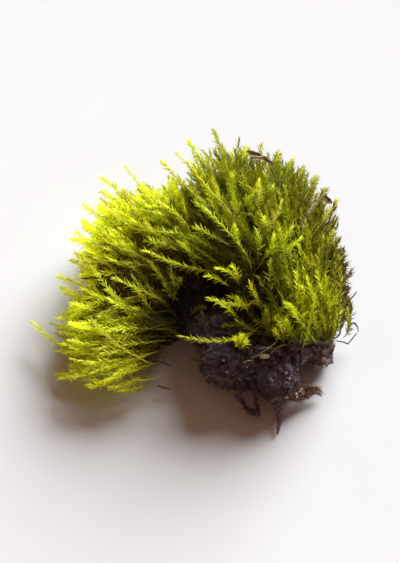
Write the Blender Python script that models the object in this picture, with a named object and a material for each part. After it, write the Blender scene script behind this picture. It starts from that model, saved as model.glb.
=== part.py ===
"""A small clump of moss, picked with its soil and lying on its side.

The dark clod of soil and rhizoids lies at the front right. Leafy shoots fan from it, away and upwards,
in two lobes that meet at the back and leave a deep hollow between them at the front. Each lobe is one
closed spiny body whose spines are the shoots' ends. Shoots that stand clear of the lobes, dead litter
and roots are bodies of their own.

Lengths are in millimetres here, and make_node turns them into metres. +X is to the right, +Y is away,
+Z is up, and the origin is under the middle of the clump, on the surface that it lies on.
"""

import math
from dataclasses import dataclass

import bmesh
import bpy
import numpy as np
from mathutils import Vector, noise

METRES = 0.001
SEED = 41
TINY = 1e-6

# Driving dimensions of the whole clump.
HALF_WIDTH = 9.85
HALF_DEPTH = 8.85
GAP = 0.3

# The lobes: how shoots' ends stand on them.
SHOOT_SPACING = 1.2
HIDDEN_SPACING = 2.3
VALLEY_DEPTH = 1.5
SPINE_FOOT = 0.3
SPINE_RADIUS = 0.4
MOST_OF_SLOPE = 0.55
SPINE_LEAN = 0.75
TIP_SPREAD = 0.32
LONG_TIP = 0.75
LONG_TIP_SHARE = 0.12
BLOCKED_SPINE = 0.25
FLOOR_CLEARANCE = 0.4
DIRECTIONS_TRIED = 5200

# Single shoots and roots.
SHOOT_RADIUS = 0.3
SHOOT_STATIONS = 11
SHOOT_SIDES = 6
LEAF_OUT = 1.35
LEAF_IN = 0.62
ROOM_MARGIN = 0.15

# The soil clod.
SOIL_LUMP = 1.0
SOIL_CRUMB = 0.75
CLOD_POINTS = 1150
CRUMB_POINTS = 230
MAT_POINTS = 260

MOSS_BRIGHT = (0.46, 0.52, 0.06)
MOSS_DEEP = (0.24, 0.30, 0.03)
SOIL_BROWN = (0.045, 0.030, 0.026)
ROOT_BROWN = (0.065, 0.038, 0.024)
LITTER_BROWN = (0.19, 0.10, 0.045)
STEM_GREY = (0.27, 0.20, 0.15)
HUSK_PALE = (0.62, 0.52, 0.38)


@dataclass(frozen=True)
class Swell:
    """An ellipsoid that a body swells out to."""

    centre: tuple
    radii: tuple


@dataclass(frozen=True)
class Wall:
    """A plane that a body stays on one side of: its points p have normal . p above offset."""

    normal: tuple
    offset: float


@dataclass(frozen=True)
class Body:
    """A body seen from one inner point, its heart, as a distance in each direction."""

    heart: tuple
    swells: tuple
    walls: tuple = ()
    fan_from: tuple = (0.0, 0.0, 0.0)


@dataclass(frozen=True)
class Strand:
    """A shoot, root or flake along a smooth curve from its foot to its tip."""

    name: str
    points: tuple
    radius: float = SHOOT_RADIUS
    colour: tuple = MOSS_BRIGHT
    flatness: float = 1.0
    leafy: bool = True
    sides: int = SHOOT_SIDES
    stations: int = SHOOT_STATIONS

    def room(self):
        """How far other bodies stay from its middle line."""
        return self.radius * (LEAF_OUT if self.leafy else 1.0) + GAP + ROOM_MARGIN


def plane_through(normal, point, shift):
    """The wall with this normal, shifted along it from the point that it passes through."""
    unit = np.array(normal) / np.linalg.norm(normal)
    return Wall(tuple(unit), float(unit @ np.array(point)) + shift)


def facing_back(wall, gap):
    """The same plane seen from its other side, a gap away."""
    return Wall(tuple(-value for value in wall.normal), gap - wall.offset)


FLOOR = Wall((0.0, 0.0, 1.0), 0.0)

# The right lobe sits on the soil's sloping top, and the two lobes meet along an upright plane.
SOIL_TOP = plane_through((0.15, 0.45, 0.88), (4.0, -4.9, 4.4), GAP / 2)
BETWEEN_LOBES = plane_through((0.97, 0.22, 0.0), (0.31, 0.0, 0.0), GAP / 2)
BEFORE_CRUMB = plane_through((-1.0, 0.0, 0.0), (5.9, 0.0, 0.0), GAP / 2)
# The mat of old stems and rhizoids fills the bottom of the hollow, under both lobes' inner edges.
LEFT_OF_MAT = plane_through((-0.85, 0.0, 0.53), (0.0, 0.0, 3.2), GAP / 2)
RIGHT_OF_MAT = plane_through((0.85, 0.0, 0.53), (0.4, 0.0, 3.2), GAP / 2)
BEHIND_SOIL = plane_through((-0.6, 0.8, 0.0), (0.0, -1.8, 0.0), GAP / 2)

RIGHT_LOBE = Body(
    heart=(3.6, -0.8, 4.2),
    swells=(
        Swell((4.2, 1.3, 4.0), (4.2, 6.2, 4.6)),
        Swell((5.7, 0.2, 2.8), (3.1, 4.9, 2.8)),
        Swell((1.9, 3.1, 4.8), (3.1, 4.8, 3.4)),
    ),
    walls=(SOIL_TOP, BETWEEN_LOBES, RIGHT_OF_MAT),
    fan_from=(4.0, -5.0, 2.0),
)
LEFT_LOBE = Body(
    heart=(-3.2, -0.4, 2.4),
    swells=(
        Swell((-3.8, 1.5, 2.9), (3.5, 4.9, 3.1)),
        Swell((-4.9, -2.9, 1.7), (3.6, 3.5, 2.2)),
        Swell((-2.0, 2.7, 3.6), (3.0, 4.1, 3.1)),
    ),
    walls=(facing_back(BETWEEN_LOBES, GAP), LEFT_OF_MAT),
    fan_from=(-1.0, -2.4, 0.8),
)
SOIL = Body(
    heart=(4.0, -3.6, 2.0),
    swells=(
        Swell((4.0, -3.7, 2.0), (3.2, 2.9, 2.6)),
        Swell((2.5, -3.2, 2.4), (2.5, 1.9, 1.5)),
    ),
    walls=(FLOOR, facing_back(SOIL_TOP, GAP), BEFORE_CRUMB, facing_back(BEHIND_SOIL, GAP)),
)
CRUMB = Body(
    heart=(7.2, -3.9, 1.75),
    swells=(Swell((7.2, -3.9, 1.75), (1.4, 1.4, 1.5)),),
    walls=(FLOOR, facing_back(BEFORE_CRUMB, GAP), facing_back(SOIL_TOP, GAP)),
)
MAT = Body(
    heart=(0.1, 0.0, 1.2),
    swells=(Swell((0.1, 0.4, 1.2), (2.6, 3.8, 2.4)),),
    walls=(FLOOR, facing_back(LEFT_OF_MAT, GAP), facing_back(RIGHT_OF_MAT, GAP), BEHIND_SOIL),
)

SINGLE_SHOOTS = (
    Strand(
        "left_stray_shoot",
        ((-6.2, -4.2, 1.7), (-7.5, -4.0, 1.8), (-8.75, -3.07, 1.9), (-HALF_WIDTH, -1.85, 1.6)),
    ),
    Strand("low_left_shoot", ((-5.3, -4.6, 1.4), (-6.6, -5.4, 1.3), (-8.3, -5.1, 0.7))),
    Strand("top_shoot", ((2.2, 4.0, 6.6), (1.9, 5.4, 7.1), (1.5, 7.1, 6.7), (1.16, HALF_DEPTH, 5.9))),
    Strand("back_thin_shoot", ((-2.3, 2.9, 5.3), (-2.9, 4.3, 5.8), (-4.33, 7.23, 4.6)), radius=0.2),
    Strand(
        "front_long_shoot",
        ((4.3, -3.5, 4.7), (3.4, -4.55, 5.1), (2.6, -5.0, 5.2), (0.83, -5.15, 5.1), (-1.04, -4.68, 4.9)),
    ),
    Strand("front_fan_shoot", ((3.8, -2.5, 5.5), (3.0, -3.5, 6.3), (1.75, -3.5, 6.6), (0.66, -3.0, 6.3))),
    Strand("left_front_shoot", ((-2.2, -0.7, 3.2), (-2.1, -1.8, 4.4), (-3.1, -2.2, 5.3), (-4.46, -1.75, 5.8))),
    Strand("middle_shoot", ((1.9, -0.3, 4.6), (0.6, -0.75, 5.4), (-1.2, -0.5, 5.9), (-3.04, 0.2, 6.3))),
)
LITTER = (
    Strand(
        "dead_leaf",
        ((2.8, 6.3, 6.7), (3.76, 6.05, 7.0), (4.75, 5.3, 7.2)),
        radius=0.5,
        colour=LITTER_BROWN,
        flatness=0.22,
        leafy=False,
        stations=8,
    ),
    Strand(
        "dead_stem",
        ((5.9, 0.3, 7.2), (6.3, 1.3, 7.9), (6.9, 2.3, 7.9), (7.5, 3.2, 7.3)),
        radius=0.22,
        colour=STEM_GREY,
        leafy=False,
        stations=8,
    ),
    Strand(
        "litter_sliver",
        ((7.2, 3.5, 6.2), (7.9, 3.75, 6.2), (8.55, 3.7, 5.9)),
        radius=0.3,
        colour=LITTER_BROWN,
        flatness=0.35,
        leafy=False,
        stations=6,
    ),
)
ROOTS_IN_SOIL = (
    Strand("long_root", ((4.7, -5.6, 1.2), (4.8, -7.0, 0.9), (4.75, -7.85, 0.5), (4.86, -HALF_DEPTH, 0.2)),
           radius=0.36, colour=ROOT_BROWN, leafy=False),
    Strand("lumpy_root", ((3.2, -5.6, 1.2), (3.3, -6.75, 0.95), (3.3, -7.35, 0.7), (3.85, -7.6, 0.55)),
           radius=0.4, colour=ROOT_BROWN),
    Strand("left_spur", ((2.7, -4.4, 2.6), (1.65, -4.96, 2.6), (0.6, -4.6, 2.4)),
           radius=0.36, colour=ROOT_BROWN),
)
CURLED_SHOOT = Strand(
    "curled_dead_shoot",
    ((5.3, -5.5, 1.5), (5.95, -6.3, 0.95), (6.65, -6.6, 0.55), (6.95, -6.0, 1.2), (7.6, -6.1, 0.75)),
    radius=0.26,
    colour=LITTER_BROWN,
)
ROOTLET = Strand(
    "right_rootlet",
    ((8.2, -0.9, 2.9), (8.8, -1.3, 2.5), (9.09, -1.95, 1.8), (9.48, -2.1, 1.4), (HALF_WIDTH, -2.34, 1.0)),
    radius=0.14,
    colour=ROOT_BROWN,
    leafy=False,
    sides=5,
)
ROOTLET_FORK = Strand(
    "rootlet_fork",
    ((9.05, -1.8, 1.95), (8.93, -2.3, 1.3), (8.95, -2.8, 0.7), (9.45, -3.03, 0.4)),
    radius=0.12,
    colour=ROOT_BROWN,
    leafy=False,
    sides=5,
)
HUSK_PLACE = (3.9, -5.85, 4.25)
HUSK_RADII = (0.34, 0.2, 0.16)


def unit_rows(rows):
    """Each row scaled to length one."""
    return rows / np.linalg.norm(rows, axis=-1, keepdims=True)


def even_directions(count):
    """Directions spread evenly over a sphere, along a golden spiral."""
    step = np.arange(count) + 0.5
    height = 1.0 - 2.0 * step / count
    turn = math.pi * (1.0 + math.sqrt(5.0)) * step
    across = np.sqrt(1.0 - height**2)
    return np.column_stack((across * np.cos(turn), across * np.sin(turn), height))


def smooth_curve(points, count):
    """Points along a Catmull-Rom curve through the given ones."""
    knots = np.array(points, float)
    knots = np.vstack((2 * knots[0] - knots[1], knots, 2 * knots[-1] - knots[-2]))
    place = np.linspace(0.0, len(knots) - 3 - 1e-9, count)
    start = place.astype(int)
    share = (place - start)[:, None]
    a, b, c, d = (knots[start + shift] for shift in range(4))
    return 0.5 * (
        2 * b + (c - a) * share + (2 * a - 5 * b + 4 * c - d) * share**2 + (3 * b - a - 3 * c + d) * share**3
    )


def open_reach(body, directions):
    """Distance from the heart to the outermost swell in each direction."""
    heart = np.array(body.heart)
    reach = np.zeros(len(directions))
    for swell in body.swells:
        radii = np.array(swell.radii)
        offset = (heart - np.array(swell.centre)) / radii
        step = directions / radii
        a = (step**2).sum(axis=1)
        b = step @ offset
        c = offset @ offset - 1.0
        reach = np.maximum(reach, (np.sqrt(b * b - a * c) - b) / a)
    return reach


def wall_room(body, directions, floor=FLOOR):
    """Distance from the heart to the first wall in each direction."""
    heart = np.array(body.heart)
    limit = np.full(len(directions), np.inf)
    for wall in body.walls + (floor,):
        normal = np.array(wall.normal)
        closing = -(directions @ normal)
        space = heart @ normal - wall.offset
        limit = np.where(closing > TINY, np.minimum(limit, space / np.maximum(closing, TINY)), limit)
    return limit


def strand_room(body, directions, strands):
    """Distance from the heart to the room kept round the strands in each direction."""
    limit = np.full(len(directions), np.inf)
    for strand in strands:
        for point in smooth_curve(strand.points, strand.stations):
            towards = point - np.array(body.heart)
            along = directions @ towards
            aside = towards @ towards - along**2
            inside = np.maximum(strand.room() ** 2 - aside, 0.0)
            limit = np.where((along > 0) & (inside > 0), np.minimum(limit, along - np.sqrt(inside)), limit)
    return limit


def thin_out(points, spacing, rng):
    """Indices of points kept so that no two lie closer than their spacing."""
    kept = []
    for index in rng.permutation(len(points)):
        near = kept and np.min(np.linalg.norm(points[kept] - points[index], axis=1)) < spacing[index]
        if not near:
            kept.append(int(index))
    return sorted(kept)


def cells_round(sites):
    """Corners between the sites on a sphere, and the ring of corners round each site, in order."""
    hull = bmesh.new()
    for site in sites:
        hull.verts.new(site)
    bmesh.ops.convex_hull(hull, input=hull.verts)
    hull.verts.index_update()
    hull.faces.index_update()
    places = np.array([vert.co[:] for vert in hull.verts])
    corners = unit_rows(np.array([face.calc_center_median()[:] for face in hull.faces]))
    rings = []
    for vert in hull.verts:
        around = [face.index for face in vert.link_faces]
        axis = Vector(places[vert.index])
        side = axis.orthogonal().normalized()
        front = axis.cross(side)
        angle = [math.atan2(front.dot(Vector(corners[i])), side.dot(Vector(corners[i]))) for i in around]
        rings.append([index for _, index in sorted(zip(angle, around))])
    hull.free()
    return places, corners, rings


def spiny_faces(rings, corner_count):
    """Faces of a body of cells: each cell's spine, and the slope from its foot to the cell's corners."""
    faces = []
    first = corner_count
    for ring in rings:
        count = len(ring)
        tip = first + count
        for i in range(count):
            j = (i + 1) % count
            faces.append((ring[i], ring[j], first + j))
            faces.append((ring[i], first + j, first + i))
            faces.append((first + i, first + j, tip))
        first = tip + 1
    return faces


def too_near(points, strands):
    """True for points inside the room that is kept round the strands."""
    near = np.zeros(len(points), bool)
    for strand in strands:
        for place in smooth_curve(strand.points, strand.stations):
            near |= np.linalg.norm(points - place, axis=1) < strand.room()
    return near


def lobe_solid(body, strands, rng):
    """A lobe as one closed body: valleys under the swells, and a spine at the end of each shoot."""
    heart = np.array(body.heart)
    raised_floor = Wall(FLOOR.normal, FLOOR_CLEARANCE)

    def room(directions, floor):
        return np.minimum(wall_room(body, directions, floor), strand_room(body, directions, strands))

    tried = even_directions(DIRECTIONS_TRIED)
    reach = open_reach(body, tried)
    hidden = wall_room(body, tried, raised_floor) < reach - VALLEY_DEPTH
    spacing = np.where(hidden, HIDDEN_SPACING, SHOOT_SPACING)
    kept = thin_out(heart + tried * np.minimum(reach, room(tried, raised_floor))[:, None], spacing, rng)
    sites, corners, rings = cells_round(tried[kept])

    valley = np.minimum(open_reach(body, corners) - VALLEY_DEPTH, room(corners, raised_floor))
    verts = [heart + corners * valley[:, None]]
    foot = np.minimum(open_reach(body, sites) - VALLEY_DEPTH + SPINE_FOOT, room(sites, raised_floor))
    stretch = rng.normal(0.0, TIP_SPREAD, len(sites))
    stretch += np.where(rng.random(len(sites)) < LONG_TIP_SHARE, LONG_TIP, 0.0)
    height = np.minimum(open_reach(body, sites) + stretch, room(sites, FLOOR)) - foot
    feet = heart + sites * foot[:, None]
    fan = unit_rows(feet - np.array(body.fan_from))
    tips = feet + unit_rows(sites + SPINE_LEAN * fan) * height[:, None]
    blocked = too_near(tips, strands) | too_near((tips + feet) / 2, strands)
    tips = np.where(blocked[:, None], feet + sites * BLOCKED_SPINE * height[:, None], tips)
    for wall in body.walls + (FLOOR,):
        normal = np.array(wall.normal)
        behind = np.minimum(tips @ normal - wall.offset, 0.0)
        tips -= behind[:, None] * normal
    for index, ring in enumerate(rings):
        slope = verts[0][ring] - feet[index]
        width = np.linalg.norm(slope, axis=1, keepdims=True)
        verts.append(feet[index] + slope * np.minimum(SPINE_RADIUS / width, MOST_OF_SLOPE))
        verts.append(tips[index : index + 1])
    return np.vstack(verts), spiny_faces(rings, len(corners))


def lumpy_solid(body, count, strands=()):
    """A lump of soil: even points pushed out to the swells, roughened, and cut by its walls."""
    ball = bmesh.new()
    for direction in even_directions(count):
        ball.verts.new(direction)
    bmesh.ops.convex_hull(ball, input=ball.verts)
    ball.verts.index_update()
    directions = unit_rows(np.array([vert.co[:] for vert in ball.verts]))
    faces = [tuple(vert.index for vert in face.verts) for face in ball.faces]
    ball.free()
    heart = np.array(body.heart)
    reach = open_reach(body, directions)
    surface = heart + directions * reach[:, None]
    lumps = [SOIL_LUMP * noise.noise(Vector(place) * 0.62) for place in surface]
    crumbs = [SOIL_CRUMB * (0.5 - noise.voronoi(Vector(place) * 0.95)[0][0]) for place in surface]
    reach = np.minimum(reach + lumps + crumbs, wall_room(body, directions))
    reach = np.minimum(reach, strand_room(body, directions, strands))
    return heart + directions * reach[:, None], faces


def strand_solid(strand):
    """A closed tapered tube: rings of points across the curve, and one point at each end.

    A leafy strand's radius steps in and out from point to point, so that leaf tips stand off it.
    """
    centres = smooth_curve(strand.points, strand.stations)
    along = unit_rows(np.gradient(centres, axis=0))
    side = Vector(along[0]).cross(Vector((0.0, 0.0, 1.0))).normalized()
    verts = [centres[0]]
    angles = 2 * math.pi * np.arange(strand.sides) / strand.sides
    for station in range(1, strand.stations - 1):
        axis = Vector(along[station])
        side = (side - axis * side.dot(axis)).normalized()
        across = axis.cross(side)
        share = station / (strand.stations - 1)
        radius = strand.radius * math.sin(math.pi * min(1.0, share**0.7)) ** 0.55
        for number, angle in enumerate(angles):
            leaf = LEAF_OUT if (number + station) % 2 else LEAF_IN
            width = radius * (leaf if strand.leafy else 1.0)
            offset = side * math.cos(angle) * width + across * math.sin(angle) * width * strand.flatness
            verts.append(centres[station] + np.array(offset))
    verts.append(centres[-1])
    last = len(verts) - 1
    faces = []
    rings = strand.stations - 2
    for number in range(strand.sides):
        after = (number + 1) % strand.sides
        faces.append((0, 1 + after, 1 + number))
        for ring in range(rings - 1):
            low = 1 + ring * strand.sides
            high = low + strand.sides
            faces.append((low + number, low + after, high + after))
            faces.append((low + number, high + after, high + number))
        top = 1 + (rings - 1) * strand.sides
        faces.append((top + number, top + after, last))
    return np.array(verts), faces


def husk_solid():
    """A small seed husk: an ellipsoid on the soil's front."""
    ball = bmesh.new()
    bmesh.ops.create_icosphere(ball, subdivisions=2, radius=1.0)
    verts = np.array([vert.co[:] for vert in ball.verts]) * HUSK_RADII + HUSK_PLACE
    faces = [tuple(vert.index for vert in face.verts) for face in ball.faces]
    ball.free()
    return verts, faces


def make_material(name, colour, roughness):
    """A plain finish with a colour and a roughness."""
    material = bpy.data.materials.new(name)
    material.use_nodes = True
    shader = material.node_tree.nodes["Principled BSDF"]
    shader.inputs["Base Color"].default_value = (*colour, 1.0)
    shader.inputs["Roughness"].default_value = roughness
    shader.inputs["Metallic"].default_value = 0.0
    return material


def make_node(name, solid, colour, roughness=0.75):
    """One named object from points in millimetres and faces, with its own finish."""
    verts, faces = solid
    mesh = bpy.data.meshes.new(name)
    mesh.from_pydata((verts * METRES).tolist(), [], faces)
    shape = bmesh.new()
    shape.from_mesh(mesh)
    bmesh.ops.recalc_face_normals(shape, faces=shape.faces)
    if shape.calc_volume(signed=True) < 0:
        bmesh.ops.reverse_faces(shape, faces=shape.faces)
    shape.to_mesh(mesh)
    shape.free()
    mesh.materials.append(make_material(name, colour, roughness))
    node = bpy.data.objects.new(name, mesh)
    bpy.context.scene.collection.objects.link(node)
    return node


def grow_from(node, strand):
    """Joins a strand to the body that it grows from."""
    branch = make_node(strand.name, strand_solid(strand), strand.colour)
    branch.hide_render = True
    branch.display_type = "WIRE"
    union = node.modifiers.new(strand.name, "BOOLEAN")
    union.operation = "UNION"
    union.solver = "EXACT"
    union.object = branch


def clear_scene():
    """Removes every object of the open scene."""
    for item in list(bpy.data.objects):
        bpy.data.objects.remove(item, do_unlink=True)


def build():
    """Builds the clump's pieces."""
    clear_scene()
    rng = np.random.default_rng(SEED)
    standing = SINGLE_SHOOTS + LITTER + (ROOTLET,)
    make_node("moss_lobe_right", lobe_solid(RIGHT_LOBE, standing, rng), MOSS_DEEP)
    make_node("moss_lobe_left", lobe_solid(LEFT_LOBE, standing, rng), MOSS_BRIGHT)
    make_node("rhizoid_mat", lumpy_solid(MAT, MAT_POINTS, standing), ROOT_BROWN, 0.95)
    on_soil = standing + (CURLED_SHOOT,)
    clod = make_node("soil_clod", lumpy_solid(SOIL, CLOD_POINTS, on_soil), SOIL_BROWN, 0.95)
    for root in ROOTS_IN_SOIL:
        grow_from(clod, root)
    make_node("soil_crumb_right", lumpy_solid(CRUMB, CRUMB_POINTS, on_soil), SOIL_BROWN, 0.95)
    for strand in SINGLE_SHOOTS + LITTER + (CURLED_SHOOT,):
        make_node(strand.name, strand_solid(strand), strand.colour)
    rootlet = make_node(ROOTLET.name, strand_solid(ROOTLET), ROOTLET.colour)
    grow_from(rootlet, ROOTLET_FORK)
    make_node("seed_husk", husk_solid(), HUSK_PALE, 0.6)


build()
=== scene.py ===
"""The looks of a small clump of leafy moss, picked with its soil and lying on its side.

The solids of the frame give each piece its place and reach. Here every lobe becomes a crowd of leafy
shoots over a dark heart of old growth, the clod becomes crumbs, grains and rhizoid threads, and the
litter gets its own thin shapes. Lengths are in millimetres, and Surface.piece turns them into metres.
"""

import logging
import math
from dataclasses import dataclass, field, replace
from enum import Enum, IntEnum

import bpy
import numpy as np
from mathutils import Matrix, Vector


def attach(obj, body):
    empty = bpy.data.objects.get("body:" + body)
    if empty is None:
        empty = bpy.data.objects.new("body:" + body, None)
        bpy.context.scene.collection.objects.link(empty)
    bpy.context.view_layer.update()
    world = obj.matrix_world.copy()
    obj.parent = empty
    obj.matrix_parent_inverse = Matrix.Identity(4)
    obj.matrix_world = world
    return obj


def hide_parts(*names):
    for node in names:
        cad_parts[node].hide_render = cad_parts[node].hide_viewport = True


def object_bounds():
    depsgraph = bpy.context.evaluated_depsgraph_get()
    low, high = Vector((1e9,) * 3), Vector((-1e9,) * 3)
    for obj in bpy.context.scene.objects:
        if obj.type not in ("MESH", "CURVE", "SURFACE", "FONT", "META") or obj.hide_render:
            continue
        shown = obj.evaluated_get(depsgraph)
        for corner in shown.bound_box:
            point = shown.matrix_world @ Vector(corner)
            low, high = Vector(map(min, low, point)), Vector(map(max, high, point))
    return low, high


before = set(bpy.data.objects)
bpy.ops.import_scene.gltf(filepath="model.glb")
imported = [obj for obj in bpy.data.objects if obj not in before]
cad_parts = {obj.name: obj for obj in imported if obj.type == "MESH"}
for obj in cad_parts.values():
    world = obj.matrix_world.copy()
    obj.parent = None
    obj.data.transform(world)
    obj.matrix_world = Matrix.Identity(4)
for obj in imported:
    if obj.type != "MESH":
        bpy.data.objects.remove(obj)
CAD_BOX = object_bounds()

Array = np.ndarray
Random = np.random.Generator
Material = bpy.types.Material
Socket = bpy.types.NodeSocket
Inputs = dict[str | int, object]
Point = tuple[float, float, float]
Route = tuple[Point, ...]
Routes = tuple[Route, ...]
Colour = tuple[float, float, float]
Marks = dict[str, Array]

LOG = logging.getLogger("moss_clump")
METRES = 0.001
SEED = 7
GOLDEN_ANGLE = math.pi * (3.0 - math.sqrt(5.0))
TINY = 1e-9
BAKE_MAP = "OFBake"

# The clump's half sizes, the gap between its bodies, and how close it comes to its box and the surface
HALF_WIDTH = 9.85
HALF_DEPTH = 8.85
GAP = 0.3
SLACK = 0.02
LOWEST_POINT = 0.015
LOWEST_THREAD = 0.05

# What mixes a cell's coordinates into its noise
CELL_PRIMES = (73856093, 19349663, 83492791)
SEED_PRIME = 26544357
CHANNEL_PRIME = 9753101
MIXING_PRIME = 1274126177
HASH_TOP = 0xFFFFF

# How a skin fills its cell of the map, and the range that a finish's noise mostly keeps to
MAP_MARGIN = 0.04
MAP_FILL = 0.92
NOISE_RANGE = (0.3, 0.7)


class Slot(Enum):
    """The record's finishes."""

    MOSS_DEEP = "moss_deep"
    MOSS_BRIGHT = "moss_bright"
    RHIZOIDS = "rhizoids"
    SOIL = "soil"
    LITTER = "litter"
    DEAD_STEM = "dead_stem"
    HUSK = "husk"


class Way(Enum):
    """How two numbers or two colours are put together."""

    ADD = "ADD"
    MIX = "MIX"
    MULTIPLY = "MULTIPLY"


class Pattern(IntEnum):
    """Which of the rough patterns in space a shape follows."""

    LUMPS = 3
    CRUMBS = 5
    RIDGES = 11
    PITS = 13
    WARP = 17
    SWAY = 21
    KNOTS = 31
    SHAKE = 41
    TREMBLE = 43
    BENDS = 47


# Rows, curves and noise


def unit(rows: Array) -> Array:
    """Each row scaled to length one."""
    return rows / np.maximum(np.linalg.norm(rows, axis=-1, keepdims=True), TINY)


def eased(share: Array, start: float, end: float) -> Array:
    """A smooth step from 0 at start to 1 at end: 3u^2 - 2u^3 for the clipped share u of the way between."""
    part = np.clip((share - start) / (end - start), 0.0, 1.0)
    return part * part * (3.0 - 2.0 * part)


def even_directions(count: int) -> Array:
    """Directions spread evenly over a sphere, along a golden spiral.

    Args:
        count: How many directions.

    Returns:
        Unit rows at evenly spaced heights, each turned from the last by the golden angle.
    """
    step = np.arange(count) + 0.5
    height = 1.0 - 2.0 * step / count
    level = np.sqrt(1.0 - height**2)
    return np.column_stack((level * np.cos(GOLDEN_ANGLE * step), level * np.sin(GOLDEN_ANGLE * step), height))


def globe(polar: Array, columns: int) -> Array:
    """Directions on a grid of latitudes and longitudes.

    Args:
        polar: Each latitude's angle p from straight down.
        columns: How many longitudes, evenly spaced.

    Returns:
        (sin p cos t, sin p sin t, -cos p) for each latitude and each longitude t.
    """
    turn = 2 * math.pi * np.arange(columns) / columns
    level, tall = np.sin(polar)[:, None], -np.cos(polar)[:, None]
    return np.stack((level * np.cos(turn), level * np.sin(turn), tall + 0 * turn), axis=-1)


def smooth_curve(route: Route, count: int) -> Array:
    """Points along a Catmull-Rom curve through a route's own points.

    Args:
        route: The points that the curve passes through, from foot to tip.
        count: How many points to return.

    Returns:
        The points, evenly spaced in the curve's parameter.
    """
    knots = np.array(route, float)
    knots = np.vstack((2 * knots[0] - knots[1], knots, 2 * knots[-1] - knots[-2]))
    place = np.linspace(0.0, len(knots) - 3 - TINY, count)
    start = place.astype(int)
    share = (place - start)[:, None]
    a, b, c, d = (knots[start + shift] for shift in range(4))
    return 0.5 * (
        2 * b + (c - a) * share + (2 * a - 5 * b + 4 * c - d) * share**2 + (3 * b - a - 3 * c + d) * share**3
    )


def arched(feet: Array, crowns: Array, tips: Array, count: int) -> Array:
    """Quadratic curves of count points each: (1-t)^2 foot + 2t(1-t) crown + t^2 tip, for even t."""
    t = np.linspace(0.0, 1.0, count)[None, :, None]
    return (1 - t) ** 2 * feet[:, None] + 2 * t * (1 - t) * crowns[:, None] + t**2 * tips[:, None]


def follow(paths: Array, shares: Array) -> tuple[Array, Array]:
    """Places and headings at given shares of the way along many paths.

    Args:
        paths: Points of the paths, as (paths, stations, 3).
        shares: How far along, 0 to 1, as (paths, places).

    Returns:
        The places and the unit headings there, both (paths, places, 3).
    """
    headings = unit(np.gradient(paths, axis=1))
    place = np.clip(shares, 0.0, 1.0) * (paths.shape[1] - 1)
    low = np.minimum(place.astype(int), paths.shape[1] - 2)
    part = (place - low)[..., None]
    row = np.arange(len(paths))[:, None]
    at = paths[row, low] * (1 - part) + paths[row, low + 1] * part
    ahead = headings[row, low] * (1 - part) + headings[row, low + 1] * part
    return at, unit(ahead)


def sideways(paths: Array) -> Array:
    """For each path, the axis that it runs along least."""
    course = np.abs(paths[:, -1] - paths[:, 0])
    return np.eye(3)[np.argmin(course, axis=1)]


def lengths_of(paths: Array) -> Array:
    """The length of each path."""
    return np.linalg.norm(np.diff(paths, axis=1), axis=2).sum(axis=1)


@dataclass(frozen=True)
class Grain:
    """A rough pattern in space that is the same each time, made by hashing the cells of a cubic lattice."""

    size: float
    seed: int

    def hashed(self, cells: Array, channel: int) -> Array:
        """A number for each cell, from its whole coordinates mixed by products and shifts.

        Args:
            cells: The cells' whole coordinates, one row each.
            channel: Which of the patterns that belong to the seed.

        Returns:
            Numbers from 0 to 1.
        """
        first, second, third = (cells[..., axis] * prime for axis, prime in enumerate(CELL_PRIMES))
        mixed = first ^ second ^ third ^ (self.seed * SEED_PRIME + channel * CHANNEL_PRIME)
        mixed = (mixed ^ (mixed >> 13)) * MIXING_PRIME
        return ((mixed ^ (mixed >> 16)) & HASH_TOP) / HASH_TOP

    def waves(self, points: Array, channel: int = 0) -> Array:
        """Smooth noise.

        Args:
            points: Where it is wanted, one row each.
            channel: Which of the patterns that belong to the seed.

        Returns:
            The hashed corners of each point's cell, blended by eased shares and spread over -1 to 1.
        """
        place = points / self.size
        cell = np.floor(place).astype(np.int64)
        share = eased(place - cell, 0.0, 1.0)
        total = np.zeros(points.shape[:-1])
        for corner in np.ndindex(2, 2, 2):
            weight = np.where(np.array(corner) == 1, share, 1.0 - share).prod(axis=-1)
            total += weight * self.hashed(cell + np.array(corner), channel)
        return 2.0 * total - 1.0

    def rough(self, points: Array, octaves: int) -> Array:
        """Smooth noise with finer noise on it.

        Args:
            points: Where it is wanted, one row each.
            octaves: How many sizes of waves.

        Returns:
            Waves summed over octaves, each half as long and half as high as the one before.
        """
        total = np.zeros(points.shape[:-1])
        for octave in range(octaves):
            finer = Grain(self.size / 2**octave, self.seed + octave)
            total += finer.waves(points) / 2**octave
        return total

    def pebbles(self, points: Array) -> Array:
        """A pattern of pebbles.

        Args:
            points: Where it is wanted, one row each.

        Returns:
            The distance to the nearest of the centres strewn one to a cell, in cell sizes.
        """
        place = points / self.size
        cell = np.floor(place).astype(np.int64)
        nearest = np.full(points.shape[:-1], np.inf)
        for corner in np.ndindex(3, 3, 3):
            near = cell + np.array(corner) - 1
            centre = near + np.stack([self.hashed(near, channel) for channel in (1, 2, 3)], axis=-1)
            nearest = np.minimum(nearest, np.linalg.norm(place - centre, axis=-1))
        return nearest

    def drift(self, points: Array) -> Array:
        """A vector of smooth noise at each point."""
        return np.stack([self.waves(points, channel) for channel in (4, 5, 6)], axis=-1)


@dataclass(frozen=True)
class Bounds:
    """The room that the whole clump keeps to: the frame's own box, with a soft edge."""

    low: Point
    high: Point
    softness: float = 0.12

    def hold(self, points: Array) -> Array:
        """Points eased back inside the box.

        Args:
            points: Points in millimetres.

        Returns:
            Each coordinate v past a limit m, pulled to it by (d + sqrt(d^2 + s^2)) / 2 with d = v - m.
        """
        over = points - np.array(self.high)
        points = points - (over + np.sqrt(over**2 + self.softness**2)) / 2
        under = np.array(self.low) - points
        return points + (under + np.sqrt(under**2 + self.softness**2)) / 2


ROOM = Bounds(
    tuple(value / METRES - SLACK for value in CAD_BOX[0][:2]) + (LOWEST_POINT,),
    tuple(value / METRES + SLACK for value in CAD_BOX[1]),
)


# Surfaces


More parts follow.
